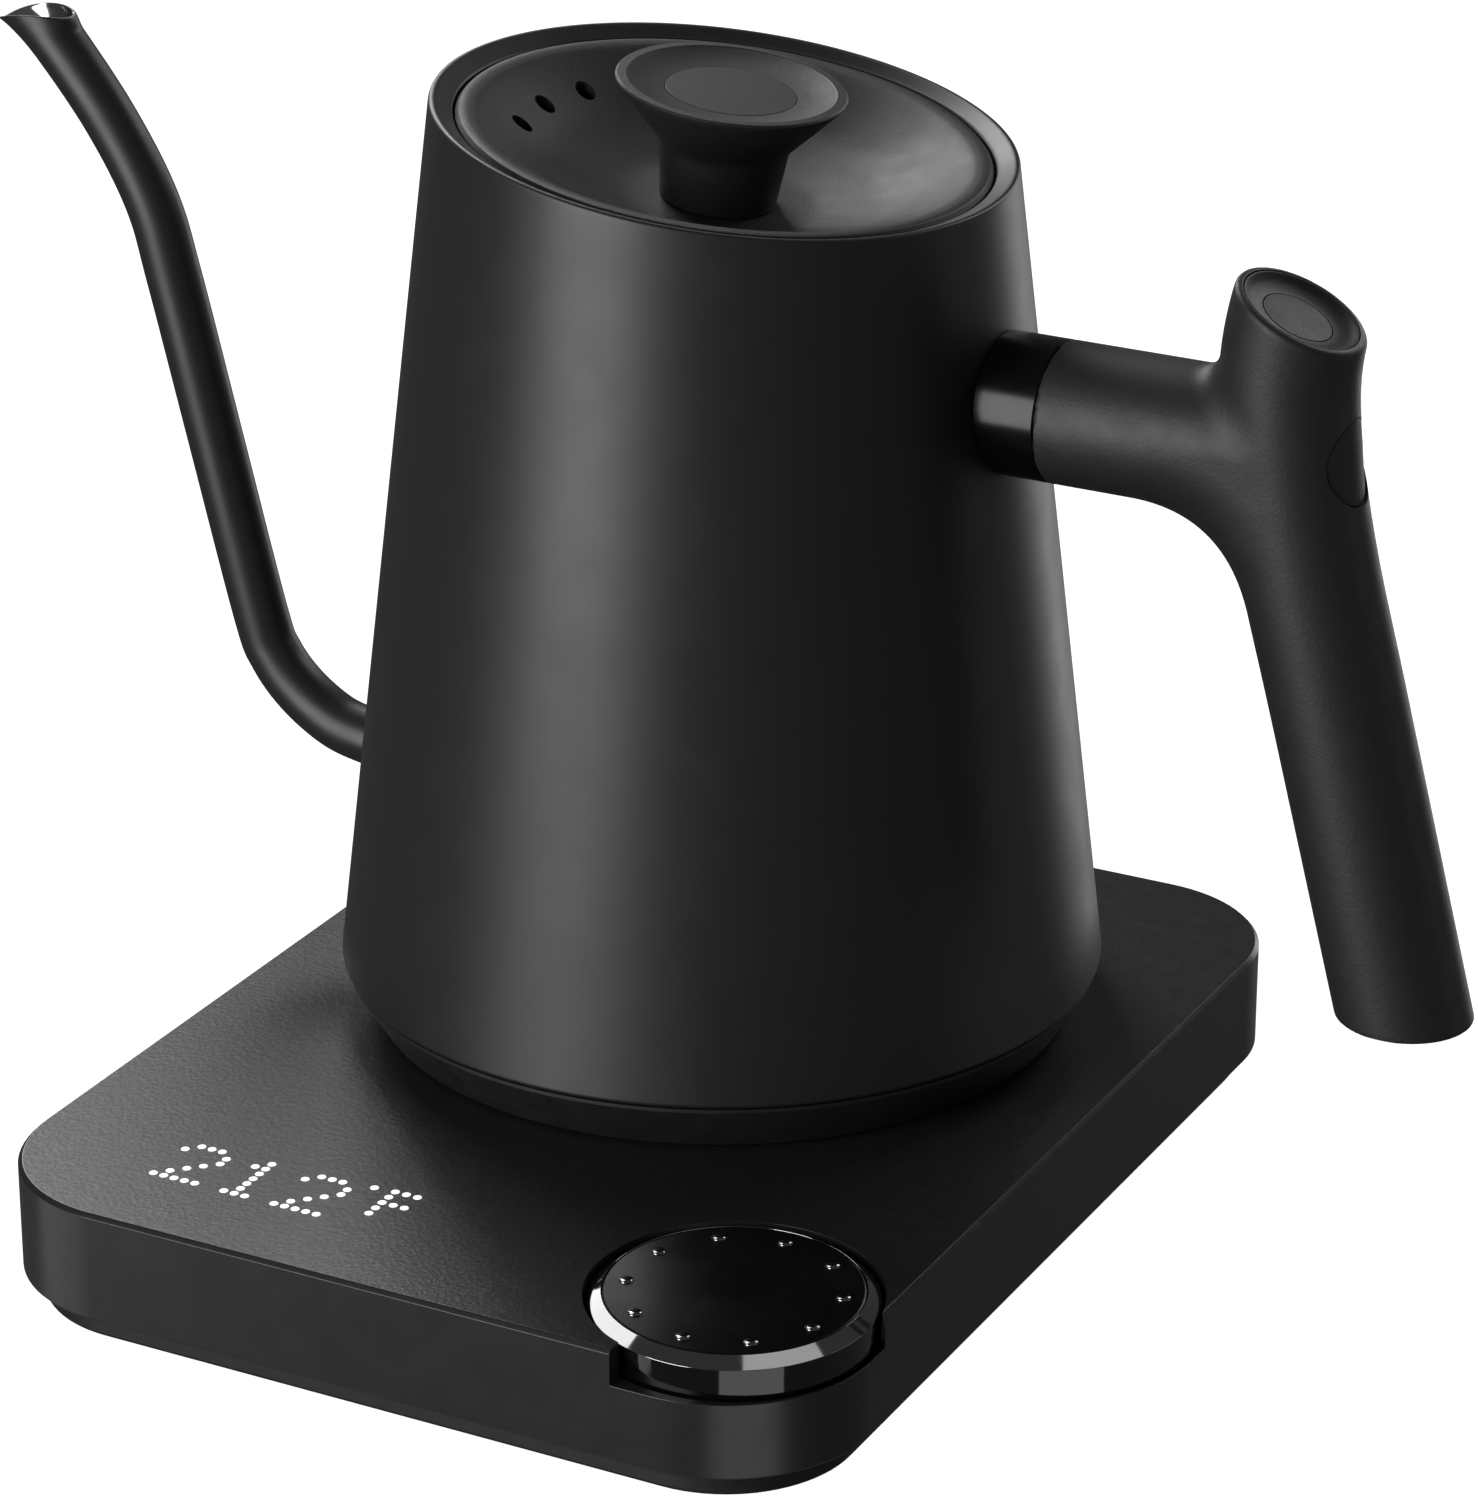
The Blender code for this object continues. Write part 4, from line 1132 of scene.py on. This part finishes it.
def dress(looks):
    """Gives each CAD node that is still shown its material."""
    for look, nodes in looks:
        for node in nodes:
            data = frame["nodes"][node].data
            data.materials.clear()
            data.materials.append(look)


# ---------------------------------------------------------------- stage, light and camera


DIAL_EDGE = ("dial_bezel_fine", "dial_body_fine")
WORLD_STRENGTH = 0.08
VIEW_TARGET = (-0.0048, 0.0152, 0.0606)
VIEW_BEARING = 27.70
VIEW_RISE = 23.16
VIEW_DISTANCE = 0.9386
LENS = 137.9


def make_floor():
    """A white disc that the piece stands on. It neither shades the piece nor shows in it."""
    bm = bmesh.new()
    bmesh.ops.create_circle(bm, cap_ends=True, segments=96, radius=12.0)
    mesh = bpy.data.meshes.new("floor")
    bm.to_mesh(mesh)
    bm.free()
    floor = bpy.data.objects.new("floor", mesh)
    bpy.context.scene.collection.objects.link(floor)
    look = Nodes("pale_floor")
    look.tint(look.noise(0.4), (0.30, 0.30, 0.30), (0.32, 0.32, 0.32))
    look.set(Roughness=1.0, Specular_IOR_Level=0.0, Emission_Color=(1, 1, 1, 1), Emission_Strength=1.0)
    mesh.materials.append(look.material)
    floor.visible_glossy = False
    floor.visible_diffuse = False
    floor.visible_shadow = False
    floor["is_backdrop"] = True


def softbox(name, turn, rise, far, size, power, aim=(0, 0, 0.09)):
    """An area light at a bearing and height angle (degrees) about aim, facing it."""
    light = bpy.data.lights.new(name, "AREA")
    light.shape = "RECTANGLE"
    light.size, light.size_y = size
    light.energy = power
    lamp = bpy.data.objects.new(name, light)
    bpy.context.scene.collection.objects.link(lamp)
    a, e = math.radians(turn), math.radians(rise)
    away = Vector((math.cos(a) * math.cos(e), math.sin(a) * math.cos(e), math.sin(e)))
    lamp.location = Vector(aim) + away * far
    lamp.rotation_euler = away.to_track_quat("Z", "Y").to_euler()
    lamp.visible_camera = False
    return lamp


def only_on(lamp, *names, state="INCLUDE"):
    """Makes a light fall on the named pieces alone, or with state EXCLUDE on all but those."""
    group = bpy.data.collections.new(lamp.name)
    for name in names:
        group.objects.link(bpy.data.objects[name])
    for entry in group.collection_objects:
        entry.light_linking.link_state = state
    lamp.light_linking.receiver_collection = group


def make_light():
    """A large softbox at the front left, smaller ones behind, and cards for the base's and dial's edges."""
    dial = Vector((DIAL_AXIS.x, DIAL_AXIS.y, BASE_TOP)) * MM
    softbox("key_left", 250, 9, 1.3, (0.75, 1.05), 16)
    softbox("back_left", 145, 32, 1.0, (0.35, 0.7), 3.4)
    softbox("lid_light", 131, 30, 0.5, (0.16, 0.12), 0.5, (0, 0, 0.18))
    softbox("cap_light", 75, 32, 0.5, (0.16, 0.12), 0.4, (0.098, 0, 0.158))
    only_on(softbox("rim_right", 80, 2, 1.3, (0.4, 1.2), 3.2), *DIAL_EDGE, state="EXCLUDE")
    softbox("fill_right", 25, 0, 1.3, (0.8, 1.0), 0.7)
    only_on(softbox("left_card", 214, -23, 1.0, (0.7, 0.35), 0.65), "base_cover_fine", *DIAL_EDGE)
    only_on(softbox("front_card", 311, -27, 1.0, (0.8, 0.4), 1.2, dial), "base_cover_fine", *DIAL_EDGE)
    only_on(softbox("dial_card_left", 153.5, 22, 1.0, (1.3, 1.1), 12, dial), *DIAL_EDGE)
    only_on(softbox("dial_card_top", 4, 68, 1.0, (0.7, 0.5), 1.0, dial), *DIAL_EDGE)
    only_on(softbox("dial_glow", 148, 20, 0.048, (0.02, 0.02), 0.0022, dial), "dial_face_fine")
    only_on(softbox("bead_card", 165, 55, 1.0, (0.6, 0.5), 3.0, dial), "dial_beads")


def make_world():
    """Dim grey all round, seen as white where nothing stands before it."""
    world = bpy.data.worlds.new("studio")
    world.use_nodes = True
    bpy.context.scene.world = world
    tree = world.node_tree
    background = tree.nodes["Background"]
    seen = tree.nodes.new("ShaderNodeBackground")
    seen.inputs["Color"].default_value = (1, 1, 1, 1)
    background.inputs["Color"].default_value = (1, 1, 1, 1)
    background.inputs["Strength"].default_value = WORLD_STRENGTH
    mix = tree.nodes.new("ShaderNodeMixShader")
    tree.links.new(tree.nodes.new("ShaderNodeLightPath").outputs["Is Camera Ray"], mix.inputs["Fac"])
    tree.links.new(background.outputs[0], mix.inputs[1])
    tree.links.new(seen.outputs[0], mix.inputs[2])
    tree.links.new(mix.outputs[0], tree.nodes["World Output"].inputs["Surface"])


def make_camera():
    camera = bpy.data.cameras.new("camera")
    camera.lens = LENS
    camera.sensor_width = 36.0
    camera.sensor_fit = "HORIZONTAL"
    eye = bpy.data.objects.new("camera", camera)
    bpy.context.scene.collection.objects.link(eye)
    a, e = math.radians(VIEW_BEARING), math.radians(VIEW_RISE)
    away = Vector((math.sin(a) * math.cos(e), -math.cos(a) * math.cos(e), math.sin(e)))
    eye.location = Vector(VIEW_TARGET) + away * VIEW_DISTANCE
    eye.rotation_euler = away.to_track_quat("Z", "Y").to_euler()
    bpy.context.scene.camera = eye


# ---------------------------------------------------------------- build

make_camera()
make_floor()
bpy.context.scene.view_settings.view_transform = "Standard"

COATING = satin_coating()
GRIP = soft_touch()
DISC = soft_touch("disc_touch", 0.018, 0.55)
SIDE, TOP, UNDER = base_side_satin(), base_top_grain(), matte_underside()
PLUG = soft_touch("plug_touch", 0.013, 0.58)
GLOSS = piano_black()
COLLAR = piano_black("collar_gloss", 0.2, coat=0.0, specular=0.28)
DIAL_FACE = piano_black("dial_gloss", 0.36, coat=0.0, specular=0.28)
CHROME, BEAD = black_chrome("black_chrome", 0.3), black_chrome("bead_chrome", 0.3)
BRUSHED, POLISHED = steel("brushed_steel", 0.3), steel("polished_steel", 0.12, (1, 1, 4))
RUBBER = rubber()

make_base_cover(SIDE, TOP)
make_plinth(UNDER)
make_connector(GLOSS)
make_display(lit_dot())
make_dial(DIAL_FACE, GLOSS, CHROME, BEAD)
make_body(COATING, BRUSHED)
make_skirt(UNDER)
make_heater(BRUSHED)
make_spout(COATING, POLISHED)
make_grip(GRIP)
make_collar(COLLAR)
make_plug(PLUG)
make_cap(GRIP)
make_lid(GRIP, BRUSHED, RUBBER)
make_knob(GRIP, DISC)
dress((
    (RUBBER, [f"base_foot_{i}" for i in range(1, 5)] + ["cord_inlet"]),
    (BRUSHED, [f"base_screw_{i}" for i in range(1, 5)] + ["dial_encoder", "dial_plunger", "heating_element",
     "temperature_probe", "handle_bracket", "handle_screw", "knob_screw"]),
    (laminate(), ["display_module", "control_board"]),
    (brass(), ["coupler_contact"]),
    (UNDER, ["thermostat"]),
))

make_light()
make_world()

[[list(corner) for corner in box] for box in (cad_box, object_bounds())]
